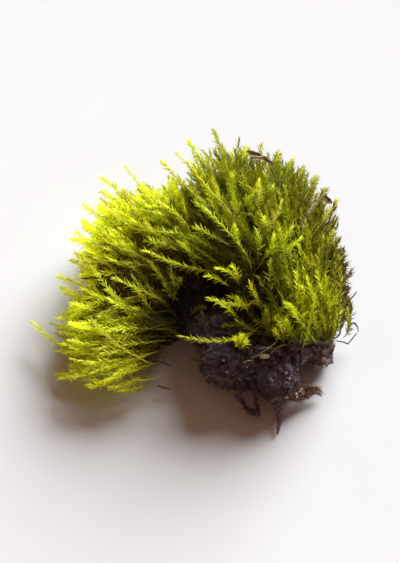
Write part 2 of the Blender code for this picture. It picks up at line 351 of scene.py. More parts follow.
@dataclass
class Surface:
    """Triangles worked out as whole arrays, with a map place for each corner and marks for each point."""

    points: Array
    faces: Array
    corners: Array
    marks: Marks = field(default_factory=dict)

    @staticmethod
    def joined(parts: list["Surface"]) -> "Surface":
        """Several surfaces as one, each with a band of the map as high as its share of the faces.

        Args:
            parts: The surfaces. A mark that one of them lacks is 0 there.

        Returns:
            One surface.
        """
        names = sorted({name for part in parts for name in part.marks})
        total = sum(len(part.faces) for part in parts)
        first, low = 0, 0.0
        faces, corners = [], []
        for part in parts:
            height = len(part.faces) / total
            faces.append(part.faces + first)
            corners.append(part.corners * (1.0, height) + (0.0, low))
            first += len(part.points)
            low += height
        marks = {
            name: np.concatenate([part.marks.get(name, np.zeros(len(part.points))) for part in parts])
            for name in names
        }
        points = np.concatenate([part.points for part in parts])
        return Surface(points, np.concatenate(faces), np.concatenate(corners), marks)

    def piece(self, name: str, material: Material, smooth: bool = False) -> bpy.types.Object:
        """The surface as an object at the origin, in metres, with its points held in the clump's room.

        Args:
            name: The piece's name.
            material: Its finish.
            smooth: True for soft shading across the faces.

        Returns:
            The new object, linked to the scene.
        """
        mesh = bpy.data.meshes.new(name)
        mesh.vertices.add(len(self.points))
        held = ROOM.hold(self.points) * METRES
        mesh.vertices.foreach_set("co", held.astype(np.float32).ravel())
        mesh.loops.add(self.faces.size)
        mesh.loops.foreach_set("vertex_index", self.faces.astype(np.int32).ravel())
        mesh.polygons.add(len(self.faces))
        mesh.polygons.foreach_set("loop_start", np.arange(0, self.faces.size, 3, dtype=np.int32))
        places = mesh.uv_layers.new(name=BAKE_MAP)
        places.uv.foreach_set("vector", self.corners.astype(np.float32).ravel())
        for mark, values in self.marks.items():
            layer = mesh.attributes.new(mark, "FLOAT", "POINT")
            layer.data.foreach_set("value", values.astype(np.float32))
        mesh.update(calc_edges=True)
        if smooth:
            mesh.shade_smooth()
        else:
            mesh.shade_flat()
        mesh.materials.append(material)
        shape = bpy.data.objects.new(name, mesh)
        bpy.context.scene.collection.objects.link(shape)
        return shape


def woven(*kinds: tuple[Array, Array, Array]) -> Array:
    """Values at the corners of a skin's faces, from three arrays for each kind of face."""
    return np.concatenate([np.stack(corners, axis=-1).reshape(-1, 3) for corners in kinds])


def lofted(rings: Array, starts: Array, ends: Array, marks: Marks | None = None) -> Surface:
    """Closed skins over rings of points, each with a point at either end.

    The rings turn anticlockwise about the way from start to end, so that the faces point outwards. On the
    map each skin has a cell of its own, unrolled: across for the way along it, up for the way round it.

    Args:
        rings: Points of the rings, as (skins, stations, sides, 3).
        starts: The first point of each skin.
        ends: The last point of each skin.
        marks: Values at the start, the stations and the end, as (skins, stations + 2) for each name.

    Returns:
        All the skins as one surface.
    """
    skins, stations, sides, _ = rings.shape
    size = stations * sides + 2
    points = np.concatenate((starts[:, None], rings.reshape(skins, -1, 3), ends[:, None]), axis=1)
    near = np.arange(sides)
    after = (near + 1) % sides
    level = np.arange(stations - 1)[:, None]
    low, low_after = 1 + level * sides + near, 1 + level * sides + after
    first, final = np.zeros(sides, int), np.full(sides, size - 1)
    top = 1 + (stations - 1) * sides
    template = woven(
        (first, 1 + after, 1 + near), (low, low_after, low_after + sides),
        (low, low_after + sides, low + sides), (top + near, top + after, final),
    )
    flat = np.zeros((stations - 1, sides))
    this, that = flat + level + 1, flat + level + 2
    left, right, middle = flat + near, flat + near + 1, near + 0.5
    ended = first + stations
    along = woven((first, first + 1, first + 1), (this, this, that), (this, that, that),
                  (ended, ended, ended + 1)) / (stations + 1)
    around = woven((middle, near + 1, near), (left, right, right), (left, right, left),
                   (near, near + 1, middle)) / sides
    across = math.ceil(math.sqrt(skins))
    cell = np.arange(skins)
    corner = np.stack((cell % across, cell // across), axis=-1)[:, None, None] + MAP_MARGIN
    corners = (corner + MAP_FILL * np.stack((along, around), axis=-1)[None]) / across
    faces = template[None] + size * cell[:, None, None]
    spread = {
        name: np.concatenate((v[:, :1], np.repeat(v[:, 1:-1], sides, axis=1), v[:, -1:]), axis=1).ravel()
        for name, v in (marks or {}).items()
    }
    return Surface(points.reshape(-1, 3), faces.reshape(-1, 3), corners.reshape(-1, 3, 2), spread)


def tubes(paths: Array, radii: Array, sides: int, marks: Marks | None = None) -> Surface:
    """Tubes along many paths: a circle carried along each.

    Args:
        paths: The middle lines, as (tubes, stations + 2, 3). Their ends are the tubes' ends.
        radii: The radius at each point of the paths, as (tubes, stations + 2), with or without one for
            each of the sides.
        sides: Corners of the circle.
        marks: As for lofted.

    Returns:
        The tubes as one surface.
    """
    ahead = unit(np.gradient(paths, axis=1))
    side = unit(np.cross(ahead, sideways(paths)[:, None]))
    over = np.cross(ahead, side)
    angle = 2 * math.pi * np.arange(sides) / sides
    radii = radii[..., None] if radii.ndim == 2 else radii
    wide = (radii * np.cos(angle))[..., None] * side[:, :, None]
    high = (radii * np.sin(angle))[..., None] * over[:, :, None]
    rings = (paths[:, :, None] + wide + high)[:, 1:-1]
    return lofted(rings, paths[:, 0], paths[:, -1], marks)


# Finishes


class Graph:
    """A material's nodes, added and joined in reading order."""

    def __init__(self, name: str) -> None:
        """Starts a material with a plain shader.

        Args:
            name: The material's name.
        """
        self.material = bpy.data.materials.new(name)
        self.material.use_nodes = True
        self.tree = self.material.node_tree
        self.shader = self.tree.nodes["Principled BSDF"]
        self.places = self.add("ShaderNodeTexCoord").outputs["Object"]

    def add(self, kind: str, inputs: Inputs | None = None, **settings: object) -> bpy.types.Node:
        """A new node.

        Args:
            kind: The node's type.
            inputs: What its inputs are given, by their name or number.
            settings: Its properties and their values.

        Returns:
            The node.
        """
        node = self.tree.nodes.new(kind)
        for name, value in settings.items():
            setattr(node, name, value)
        for place, source in (inputs or {}).items():
            self.feed(node.inputs[place], source)
        return node

    def feed(self, target: Socket, source: object) -> None:
        """Gives a socket another's output, a number or a colour.

        Args:
            target: The input socket.
            source: An output socket, a number or a colour.
        """
        if isinstance(source, Socket):
            self.tree.links.new(source, target)
        elif isinstance(source, tuple):
            target.default_value = (*source, 1.0)
        else:
            target.default_value = source

    def mark(self, name: str) -> Socket:
        """A mark that the piece's points carry."""
        return self.add("ShaderNodeAttribute", attribute_name=name).outputs["Fac"]

    def noise(self, size: float, detail: float, stretch: Point = (1.0, 1.0, 1.0)) -> Socket:
        """Noise with patches of about this size in millimetres, on the object's own coordinates.

        Args:
            size: The patches' size.
            detail: Octaves of finer noise.
            stretch: How much the pattern is squeezed along each axis.

        Returns:
            The noise, mostly within NOISE_RANGE.
        """
        mapping = self.add("ShaderNodeMapping", {"Vector": self.places})
        mapping.inputs["Scale"].default_value = stretch
        inputs = {"Scale": 1.0 / (size * METRES), "Detail": detail, "Vector": mapping.outputs["Vector"]}
        return self.add("ShaderNodeTexNoise", inputs).outputs["Fac"]

    def ramp(self, share: Socket, *stops: tuple[float, Colour]) -> Socket:
        """Colours along a share.

        Args:
            share: The socket that picks the colour.
            stops: Places from 0 to 1 with their colours.

        Returns:
            The colour socket.
        """
        node = self.add("ShaderNodeValToRGB", {"Fac": share})
        marks = node.color_ramp.elements
        for place, _ in stops[2:]:
            marks.new(place)
        for mark, (place, colour) in zip(marks, stops):
            mark.position = place
            mark.color = (*colour, 1.0)
        return node.outputs["Color"]

    def spanned(self, value: object, *limits: float) -> Socket:
        """A value mapped from the range of the first two limits onto that of the others, and held in it."""
        ends = dict(zip(("From Min", "From Max", "To Min", "To Max"), limits))
        return self.add("ShaderNodeMapRange", {"Value": value} | ends).outputs["Result"]

    def varied(self, noise: Socket, low: float, high: float) -> Socket:
        """A noise spread over another range."""
        return self.spanned(noise, *NOISE_RANGE, low, high)

    def maths(self, way: Way, first: object, second: object) -> Socket:
        """The sum or the product of two numbers or sockets."""
        return self.add("ShaderNodeMath", {0: first, 1: second}, operation=way.value).outputs[0]

    def blend(self, share: object, first: object, second: object, way: Way = Way.MIX) -> Socket:
        """Two colours or sockets, the second mixed into the first or multiplied with it as the share says."""
        inputs = {0: share, 6: first, 7: second}
        return self.add("ShaderNodeMix", inputs, data_type="RGBA", blend_type=way.value).outputs[2]

    def bump(self, height: Socket, depth: float, strength: float) -> None:
        """Fine relief on the shader, as many millimetres deep, in the pattern of the height."""
        inputs = {"Strength": strength, "Distance": depth * METRES, "Height": height}
        self.feed(self.shader.inputs["Normal"], self.add("ShaderNodeBump", inputs).outputs["Normal"])

    def finish(self, colour: Socket, roughness: object, gloss: float) -> Material:
        """Sets the shader's colour, roughness and gloss.

        Args:
            colour: The colour socket.
            roughness: A number or a socket.
            gloss: The specular level.

        Returns:
            The material.
        """
        self.feed(self.shader.inputs["Base Color"], colour)
        self.feed(self.shader.inputs["Roughness"], roughness)
        self.shader.inputs["Specular IOR Level"].default_value = gloss
        return self.material


@dataclass(frozen=True)
class LeafFinish:
    """Thin moss leaves: dead and dull at the shoot's foot, green above and yellow-green at its fresh tip.

    The marks say how far along the shoot a leaf stands (along), how far along the leaf a point is (leaf),
    whether it is stem (wood), how golden the shoot is (gold), how brown it is, partly painted shade (dull),
    and how much painted light or painted shade makes it brighter or darker (glow).
    """

    name: str
    dead: Colour = (0.120, 0.115, 0.045)
    old: Colour = (0.275, 0.32, 0.030)
    grown: Colour = (0.42, 0.51, 0.018)
    young: Colour = (0.63, 0.705, 0.05)
    golden: Colour = (0.69, 0.65, 0.04)
    brown: Colour = (0.22, 0.155, 0.045)
    stem: Colour = (0.50, 0.50, 0.05)
    tip: Colour = (0.78, 0.85, 0.18)
    light_through: float = 0.45
    tint_through: Colour = (1.3, 1.25, 0.9)
    patch: float = 0.9
    cell: float = 0.12
    gloss: float = 0.22

    def material(self) -> Material:
        """Builds the finish: its colours along the shoot, in patches, and the light that falls through.

        Returns:
            The material.
        """
        graph = Graph(self.name)
        shift = graph.varied(graph.noise(self.patch, 2.0), -0.1, 0.1)
        along = graph.mark("along")
        base = graph.ramp(graph.maths(Way.ADD, along, shift),
                          (0.08, self.dead), (0.26, self.old), (0.50, self.grown), (0.90, self.young))
        warmth = graph.maths(Way.MULTIPLY, graph.mark("gold"), graph.spanned(along, 0.2, 0.7, 0.0, 1.0))
        base = graph.blend(warmth, base, self.golden)
        upper = graph.spanned(along, 0.15, 0.6, 0.0, 0.65)
        base = graph.blend(graph.maths(Way.MULTIPLY, graph.mark("wood"), upper), base, self.stem)
        paler = graph.maths(Way.MULTIPLY, graph.spanned(graph.mark("leaf"), 0.5, 1.0, 0.0, 0.4), upper)
        base = graph.blend(paler, base, self.tip)
        cells = graph.noise(self.cell, 2.0)
        # Painted light and shade: the dull mark browns leaves, partly as painted shade, and the next mark
        # scales them brighter or darker by place
        base = graph.blend(graph.mark("dull"), base, self.brown)
        lit = graph.maths(Way.MULTIPLY, graph.mark("glow"), graph.varied(cells, 0.82, 1.12))
        base = graph.blend(1.0, base, lit, Way.MULTIPLY)
        graph.bump(cells, 0.02, 0.35)
        graph.finish(base, graph.varied(cells, 0.38, 0.54), self.gloss)
        tinted = graph.blend(1.0, base, self.tint_through, Way.MULTIPLY)
        through = graph.add("ShaderNodeBsdfTranslucent", {"Color": tinted})
        shaders = {"Fac": self.light_through, 1: graph.shader.outputs[0], 2: through.outputs[0]}
        both = graph.add("ShaderNodeMixShader", shaders)
        graph.feed(graph.tree.nodes["Material Output"].inputs["Surface"], both.outputs[0])
        return graph.material


@dataclass(frozen=True)
class EarthFinish:
    """Dark damp soil: grey-brown in patches of several sizes, with pale specks and a few moist glints.

    Where the mark called shade is high, the soil takes on a near-black colour: painted shade.
    """

    name: str
    dark: Colour = (0.092, 0.073, 0.084)
    mid: Colour = (0.160, 0.124, 0.126)
    light: Colour = (0.33, 0.265, 0.24)
    speck: Colour = (0.50, 0.42, 0.39)
    deepest: Colour = (0.062, 0.055, 0.066)
    speck_share: float = 0.5
    patch: float = 2.2
    grain: float = 0.35
    gloss: float = 0.16

    def material(self) -> Material:
        """Builds the finish: a broad and a fine noise pick the tone, and specks and shade go over it.

        Returns:
            The material.
        """
        graph = Graph(self.name)
        broad = graph.noise(self.patch, 3.0)
        fine = graph.noise(self.grain, 5.0)
        both = graph.maths(
            Way.ADD, graph.maths(Way.MULTIPLY, broad, 0.45), graph.maths(Way.MULTIPLY, fine, 0.55)
        )
        tone = graph.maths(Way.ADD, both, graph.spanned(graph.mark("tone"), 0.0, 1.0, -0.13, 0.2))
        base = graph.ramp(tone, (0.36, self.dark), (0.50, self.mid), (0.72, self.light))
        specks = graph.spanned(graph.noise(0.16, 1.0), 0.66, 0.76, 0.0, self.speck_share)
        base = graph.blend(specks, base, self.speck)
        # Painted shade: where the shade mark is high, in the hollow and on the clod's top, the colour goes
        # near black
        base = graph.blend(graph.mark("shade"), base, self.deepest)
        graph.bump(graph.noise(0.13, 6.0), 0.07, 0.8)
        moist = graph.spanned(graph.noise(0.5, 2.0), 0.42, 0.62, 0.52, 0.92)
        return graph.finish(base, moist, self.gloss)


@dataclass(frozen=True)
class DryFinish:
    """Dry plant stuff: streaks of two browns, dull, with a fine grain."""

    name: str
    dark: Colour
    light: Colour
    roughness: float = 0.75
    grain: float = 0.18
    stretch: Point = (1.0, 0.5, 1.4)
    gloss: float = 0.3

    def material(self) -> Material:
        """Builds the finish: streaks pick the tone, the roughness and the relief.

        Returns:
            The material.
        """
        graph = Graph(self.name)
        streaks = graph.noise(self.grain, 4.0, self.stretch)
        tone = graph.maths(Way.ADD, streaks, graph.spanned(graph.mark("tone"), 0.0, 1.0, -0.18, 0.18))
        base = graph.ramp(tone, (0.34, self.dark), (0.66, self.light))
        graph.bump(streaks, 0.03, 0.6)
        rough = graph.varied(streaks, self.roughness - 0.12, self.roughness + 0.1)
        return graph.finish(base, rough, self.gloss)


@dataclass(frozen=True)
class PaperFinish:
    """The plain pale surface under the clump."""

    name: str = "pale_surface"
    colour: Colour = (0.63, 0.64, 0.655)
    patch: float = 6.0
    roughness: float = 0.85
    gloss: float = 0.15

    def material(self) -> Material:
        """Builds the finish: one pale colour with very faint patches.

        Returns:
            The material.
        """
        graph = Graph(self.name)
        patches = graph.varied(graph.noise(self.patch, 2.0), 0.99, 1.01)
        base = graph.blend(1.0, self.colour, patches, Way.MULTIPLY)
        return graph.finish(base, self.roughness, self.gloss)


# Bodies: the same swells and walls as the solids' own


@dataclass(frozen=True)
class View:
    """The picture's line of sight: 400 by 563 pixels, looking down on the clump from its soil's side."""

    elevation: float = 61.0
    distance: float = 100.0
    target: Point = (0.38, -0.42, 3.5)
    focal_pixels: float = 1700.0
    centre: tuple[float, float] = (200.0, 281.5)
    height: int = 563

    def axes(self) -> Array:
        """The picture's own directions.

        Returns:
            The ways to the picture's right, to its top and to the camera, as rows.
        """
        tilt = math.radians(self.elevation)
        low, high = math.cos(tilt), math.sin(tilt)
        return np.array(((1.0, 0.0, 0.0), (0.0, high, low), (0.0, -low, high)))

    def camera(self) -> Array:
        """Where the camera stands."""
        return np.array(self.target) + self.distance * self.axes()[2]

    def seen(self, route: Route, body: "Body | None" = None) -> Array:
        """Points that are seen at given pixels.

        Args:
            route: For each point its pixel, across and down, and how near it is in millimetres: above the
                body's face, or without a body above the level plane of sight through the target.
            body: The body.

        Returns:
            camera + depth * (sight + across right + up top) for each point.
        """
        pixels = np.array(route, float)
        right, top, near = self.axes()
        across = (pixels[:, :1] - self.centre[0]) / self.focal_pixels
        up = (self.centre[1] - pixels[:, 1:2]) / self.focal_pixels
        ways = across * right + up * top - near
        depth = self.distance if body is None else body.face_depth(self.camera(), ways)
        return self.camera() + ways * (depth - pixels[:, 2])[:, None]


VIEW = View()


@dataclass(frozen=True)
class Swell:
    """An ellipsoid that a body swells out to."""

    centre: Point
    radii: Point


@dataclass(frozen=True)
class Wall:
    """A plane that a body stays on one side of: its points p have normal . p above offset."""

    normal: Point
    offset: float

    @staticmethod
    def through(normal: Point, point: Point) -> "Wall":
        """The wall with this normal, half a gap along it from the point."""
        way = unit(np.array(normal))
        return Wall(tuple(way), float(way @ np.array(point)) + GAP / 2)

    def back(self) -> "Wall":
        """The same plane seen from its other side, a gap away."""
        return Wall(tuple(-value for value in self.normal), GAP - self.offset)


@dataclass(frozen=True)
class Body:
    """A body seen from one inner point, its heart, as a distance in each direction."""

    heart: Point
    swells: tuple[Swell, ...]
    walls: tuple[Wall, ...] = ()
    fan_from: Point = (0.0, 0.0, 0.0)

    def open_reach(self, ways: Array) -> tuple[Array, Array]:
        """Distance from the heart to the outermost swell in each direction, and the surface normal there.

        Args:
            ways: Unit directions, one row each.

        Returns:
            The larger root of |(heart + t way - centre) / radii| = 1 over the swells, and the normals.
        """
        heart = np.array(self.heart)
        reach, normals = np.zeros(len(ways)), ways.copy()
        for swell in self.swells:
            radii = np.array(swell.radii)
            offset = (heart - np.array(swell.centre)) / radii
            step = ways / radii
            a = (step**2).sum(axis=1)
            b = step @ offset
            far = (np.sqrt(np.maximum(b * b - a * (offset @ offset - 1.0), 0.0)) - b) / a
            beyond = far > reach
            outward = unit((offset + step * far[:, None]) / radii)
            normals = np.where(beyond[:, None], outward, normals)
            reach = np.maximum(reach, far)
        return reach, normals

    def face_depth(self, start: Array, ways: Array) -> Array:
        """How far along each way from an outside point the body's first swell is.

        Args:
            start: The outside point.
            ways: Directions, one row each.

        Returns:
            The smaller root of |(start + t way - centre) / radii| = 1, or for a way that misses every swell
            the place where it passes closest to one.
        """
        depths, misses = [], []
        for swell in self.swells:
            offset = (start - np.array(swell.centre)) / np.array(swell.radii)
            step = ways / np.array(swell.radii)
            a = (step**2).sum(axis=1)
            b = step @ offset
            inside = b * b - a * (offset @ offset - 1.0)
            depths.append((-b - np.sqrt(np.maximum(inside, 0.0))) / a)
            misses.append(np.maximum(-inside / a, 0.0))
        depths, misses = np.array(depths), np.array(misses)
        return np.where(misses > misses.min(axis=0), np.inf, depths).min(axis=0)

    def wall_room(self, ways: Array) -> Array:
        """Distance from the heart to the first wall in each direction.

        Args:
            ways: Unit directions, one row each.

        Returns:
            The least of (heart . normal - offset) / -(way . normal) over the walls that a way closes on.
        """
        heart = np.array(self.heart)
        limit = np.full(len(ways), np.inf)
        for wall in self.walls:
            closing = -(ways @ np.array(wall.normal))
            space = heart @ np.array(wall.normal) - wall.offset
            limit = np.where(closing > TINY, np.minimum(limit, space / np.maximum(closing, TINY)), limit)
        return limit

    def inside_walls(self, points: Array) -> Array:
        """Points moved straight back to a wall where they are past it.

        Args:
            points: The points, one row each.

        Returns:
            The points, each wall's overshoot taken off along its normal.
        """
        for wall in self.walls:
            behind = np.minimum(points @ np.array(wall.normal) - wall.offset, 0.0)
            points = points - behind[:, None] * np.array(wall.normal)
        return points

    def rough_skin(self, rows: int, columns: int, relief: "Relief") -> Surface:
        """The body's skin on a grid of latitudes and longitudes, roughened.

        Args:
            rows: Rings of points between the poles.
            columns: Points on each ring.
            relief: How rough it is.

        Returns:
            heart + way * reach for the grid's directions, closed at both poles.
        """
        polar = math.pi * (np.arange(rows) + 1.0) / (rows + 1.0)
        ways = np.vstack((globe(polar, columns).reshape(-1, 3), (0.0, 0.0, -1.0), (0.0, 0.0, 1.0)))
        points = np.array(self.heart) + ways * relief.reach(self, ways)[:, None]
        rings = points[:-2].reshape(1, rows, columns, 3)
        return lofted(rings, points[-2:-1], points[-1:])


@dataclass(frozen=True)
class Relief:
    """How rough a body's skin is: broad lumps and crumbs within its walls, sharp ridges and pits over them.

    The warp sways the ridges, and each of their octaves is lower than the one before by the fall.
    """

    sunk: float = 0.0
    lump: float = 0.9
    lump_size: float = 1.7
    crumb: float = 0.55
    crumb_size: float = 0.95
    ridge: float = 0.30
    ridge_size: float = 0.62
    pit: float = 0.20
    pit_size: float = 0.45
    warp: float = 0.3
    fall: float = 1.7
    octaves: int = 3
    least: float = 0.2

    def reach(self, body: Body, ways: Array) -> Array:
        """Distance from the body's heart to its rough skin.

        Args:
            body: The body.
            ways: Unit directions, one row each.

        Returns:
            The open reach plus lumps and crumbs, held at the walls, plus ridges (1 - 2 |waves| over the
            octaves) and pits.
        """
        heart = np.array(body.heart)
        reach = body.open_reach(ways)[0] - self.sunk
        surface = heart + ways * reach[:, None]
        reach = reach + self.lump * Grain(self.lump_size, Pattern.LUMPS).waves(surface)
        reach = reach + self.crumb * (0.5 - Grain(self.crumb_size, Pattern.CRUMBS).pebbles(surface))
        reach = np.minimum(reach, body.wall_room(ways) - self.sunk / 2)
        surface = heart + ways * reach[:, None]
        surface = surface + self.warp * self.ridge_size * Grain(self.ridge_size, Pattern.WARP).drift(surface)
        for octave in range(self.octaves):
            ridges = Grain(self.ridge_size / 2**octave, Pattern.RIDGES + octave)
            sharp = 1.0 - 2.0 * np.abs(ridges.waves(surface))
            reach = reach + self.ridge * sharp / self.fall**octave
        reach = reach + self.pit * (0.5 - Grain(self.pit_size, Pattern.PITS).pebbles(surface))
        return np.maximum(reach, self.least)


FLOOR = Wall((0.0, 0.0, 1.0), 0.0)
SOIL_TOP = Wall.through((0.15, 0.45, 0.88), (4.0, -4.9, 4.4))
BETWEEN_LOBES = Wall.through((0.97, 0.22, 0.0), (0.31, 0.0, 0.0))
BEFORE_CRUMB = Wall.through((-1.0, 0.0, 0.0), (5.9, 0.0, 0.0))
LEFT_OF_MAT = Wall.through((-0.85, 0.0, 0.53), (0.0, 0.0, 3.2))
RIGHT_OF_MAT = Wall.through((0.85, 0.0, 0.53), (0.4, 0.0, 3.2))
BEHIND_SOIL = Wall.through((-0.6, 0.8, 0.0), (0.0, -1.8, 0.0))

RIGHT_BODY = Body(
    heart=(3.6, -0.8, 4.2),
    swells=(
        Swell((4.2, 1.3, 4.0), (4.2, 6.2, 4.6)),
        Swell((5.7, 0.2, 2.8), (3.1, 4.9, 2.8)),
        Swell((1.9, 3.1, 4.8), (3.1, 4.8, 3.4)),
    ),
    walls=(FLOOR, SOIL_TOP, BETWEEN_LOBES, RIGHT_OF_MAT),
    fan_from=(4.0, -5.0, 2.0),
)
LEFT_BODY = Body(
    heart=(-3.2, -0.4, 2.4),
    swells=(
        Swell((-3.8, 1.5, 2.9), (3.5, 4.9, 3.1)),
        Swell((-4.9, -2.9, 1.7), (3.6, 3.5, 2.2)),
        Swell((-2.0, 2.7, 3.6), (3.0, 4.1, 3.1)),
    ),
    walls=(FLOOR, BETWEEN_LOBES.back(), LEFT_OF_MAT),
    fan_from=(-1.0, -2.4, 0.8),
)
CLOD_BODY = Body(
    heart=(4.0, -3.6, 2.0),
    swells=(
        Swell((4.0, -3.7, 2.0), (3.2, 2.9, 2.6)),
        Swell((2.5, -3.2, 2.4), (2.5, 1.9, 1.5)),
    ),
    walls=(FLOOR, SOIL_TOP.back(), BEFORE_CRUMB, BEHIND_SOIL.back()),
)
CRUMB_BODY = Body(
    heart=(7.2, -3.9, 1.75),
    swells=(Swell((7.2, -3.9, 1.75), (1.4, 1.4, 1.5)),),
    walls=(FLOOR, BEFORE_CRUMB.back(), SOIL_TOP.back()),
)
MAT_BODY = Body(
    heart=(0.1, 0.0, 1.2),
    swells=(Swell((0.1, 0.4, 1.2), (2.6, 3.8, 2.4)),),
    walls=(FLOOR, LEFT_OF_MAT.back(), RIGHT_OF_MAT.back(), BEHIND_SOIL),
)


# Moss: how tufts blend, where clearings thin the shoots, and what random errors are held to

TUFT_BLEND = 0.5
COLUMN_EDGE = (0.8, 2.0)
IN_COLUMN = 0.93
WALL_ROOM = 0.5
TURNED_AWAY = -0.05
LEAST_FACING = 0.35
HEIGHT_ERRORS = (-2.5, 1.3)
FOOT_ROOM = 0.95
TINT_LIMITS = {"gold": (0.1, 0.55), "glow": (0.3, 1.4), "dull": (0.0, 1.0)}


@dataclass(frozen=True)
class Foliage:
    """How leaves stand on a shoot: in a spiral, spread below and clasped to a point at the tip.

    Spreads are in degrees. Shares run from 0 at a shoot's foot or a leaf's base to 1 at its tip.
    """

    leaves: int = 48
    length: float = 0.46
    width: float = 0.11
    keel: float = 0.28
    spread_low: float = 35.0
    spread_high: float = 12.0
    spread_error: float = 9.0
    recurve: float = 0.10
    recurve_error: float = 0.16
    curl: float = 0.5
    first: float = 0.2
    withered_below: float = 0.3
    stem_radius: float = 0.05
    stem_stations: int = 5
    leaf_places: tuple[float, ...] = (0.36,)
    leaf_widths: tuple[float, ...] = (1.0,)
    nudge: float = 0.35
    crowding: float = 0.85
    turn_error: float = 0.3
    length_error: float = 0.25
    clasped_from: float = 0.8
    clasped_calm: float = 0.7
    clasped_shorter: float = 0.1
    withered_above: float = 0.1
    withered_smaller: float = 0.4
    leaves_end: float = 0.8
    stem_end: float = 0.5
    stem_taper: float = 0.5

    def grow(self, paths: Array, tints: Marks, rng: Random) -> Surface:
        """Leafy shoots along many paths, their leaves and stems as one surface."""
        return Surface.joined([self._leaves(paths, tints, rng), self._stems(paths, tints)])

    def _leaves(self, paths: Array, tints: Marks, rng: Random) -> Surface:
        """The leaves: each a keeled blade with three corners across, tapered to a point.

        A leaf's middle line is base + length * (s heading + bend s^2 outward), for s from 0 to 1.

        Args:
            paths: The shoots' middle lines, as (shoots, stations, 3).
            tints: How golden, dull and bright each shoot is.
            rng: The random numbers.

        Returns:
            The leaves of all the shoots.
        """
        shoots, count = len(paths), self.leaves
        order = np.arange(count)
        last = 1.0 - self.leaves_end * self.length / lengths_of(paths)[:, None]
        nudge = rng.uniform(-self.nudge, self.nudge, (shoots, count))
        place = np.clip((order + nudge) / (count - 1), 0.0, 1.0)
        share = self.first + (last - self.first) * place**self.crowding
        base, ahead = follow(paths, share)
        side = unit(np.cross(ahead, sideways(paths)[:, None]))
        turn = GOLDEN_ANGLE * order + rng.uniform(0, 2 * math.pi, (shoots, 1))
        turn = turn + rng.normal(0, self.turn_error, share.shape)
        out = np.cos(turn)[..., None] * side + np.sin(turn)[..., None] * np.cross(ahead, side)

        clasped = eased(share / last, self.clasped_from, 1.0)
        spread = self.spread_low + (self.spread_high - self.spread_low) * clasped
        error = rng.normal(0, self.spread_error, share.shape) * (1 - self.clasped_calm * clasped)
        spread = np.radians(spread + error)[..., None]
        heading = np.cos(spread) * ahead + np.sin(spread) * out
        bend_to = np.cos(spread) * out - np.sin(spread) * ahead
        bend = rng.normal(self.recurve, self.recurve_error, share.shape)[..., None, None]
        fresh = eased(share, self.withered_above, self.withered_below)
        size = 1.0 - self.withered_smaller * (1.0 - fresh)
        length = self.length * size * rng.uniform(1 - self.length_error, 1 + self.length_error, share.shape)
        length = (length * (1.0 - self.clasped_shorter * clasped))[..., None, None]

        along = np.array(self.leaf_places)[:, None]
        heading, bend_to = heading[:, :, None], bend_to[:, :, None]
        middle = base[:, :, None] + length * (along * heading + bend * along**2 * bend_to)
        twist = rng.normal(0, self.curl, share.shape)[..., None, None] * along
        flat = np.cross(ahead, out)[:, :, None]
        deep = np.cross(heading, flat)
        level = np.cos(twist) * flat + np.sin(twist) * deep
        inner = np.cos(twist) * deep - np.sin(twist) * flat
        half = 0.5 * self.width * size[..., None, None] * np.array(self.leaf_widths)[:, None]
        keel = middle - 2 * half * self.keel * inner
        rings = np.stack((middle + half * level, middle - half * level, keel), axis=-2)
        tip = base + (length * (heading + bend * bend_to))[:, :, 0]

        stations = len(self.leaf_places)
        whole = (shoots * count, stations + 2)
        level = np.ones(stations + 2)
        marks = {
            "along": share.reshape(-1, 1) * level,
            "leaf": np.broadcast_to(np.array((0.0, *self.leaf_places, 1.0)), whole),
            **{name: np.repeat(values, count)[:, None] * level for name, values in tints.items()},
        }
        return lofted(rings.reshape(-1, stations, 3, 3), base.reshape(-1, 3), tip.reshape(-1, 3), marks)

    def _stems(self, paths: Array, tints: Marks) -> Surface:
        """The stems: thin tubes that taper to where the last leaves clasp.

        Args:
            paths: As for the leaves.
            tints: As for the leaves.

        Returns:
            The stems of all the shoots.
        """
        last = 1.0 - self.stem_end * self.length / lengths_of(paths)[:, None]
        share = np.linspace(0.0, 1.0, self.stem_stations + 2) * last
        lines = follow(paths, share)[0]
        level = np.ones_like(share)
        marks = {"along": share, "wood": level}
        marks |= {name: values[:, None] * level for name, values in tints.items()}
        return tubes(lines, self.stem_radius * (1.0 - self.stem_taper * share), 3, marks)


@dataclass(frozen=True)
class FineFoliage(Foliage):
    """The same growth on shoots that are seen one by one, with a ring more in each leaf."""

    leaves: int = 72
    width: float = 0.10
    stem_stations: int = 14
    leaf_places: tuple[float, ...] = (0.2, 0.6)
    leaf_widths: tuple[float, ...] = (1.0, 0.66)


@dataclass(frozen=True)
class Tint:
    """How golden a shoot is, how dull and brown (partly as painted shade), and how much painted light or
    shade it has.
    """

    gold: float = 0.35
    glow: float = 1.15
    dull: float = 0.0

    def evenly(self, count: int) -> Marks:
        """The same tint for many shoots."""
        return {name: np.full(count, value) for name, value in vars(self).items()}


@dataclass(frozen=True)
class Tuft:
    """How the shoots grow near one place: the way they point, their tint and their painted light or shade."""

    place: Point
    heading: Point
    gold: float
    glow: float
    dull: float = 0.0

    @staticmethod
    def blended(tufts: tuple["Tuft", ...], places: Array) -> tuple[Array, Marks]:
        """The growth at other places, weighted by 1 / (distance^2 + TUFT_BLEND)^2 over the tufts.

        Args:
            tufts: The tufts.
            places: Where to blend them, one row each.

        Returns:
            Unit headings and tints for each place.
        """
        spots = np.array([tuft.place for tuft in tufts])
        gap = ((places[:, None] - spots[None]) ** 2).sum(axis=2)
        share = 1.0 / (gap + TUFT_BLEND) ** 2
        share = share / share.sum(axis=1, keepdims=True)
        headings = unit(share @ unit(np.array([tuft.heading for tuft in tufts])))
        return headings, {name: share @ np.array([getattr(t, name) for t in tufts]) for name in vars(Tint())}


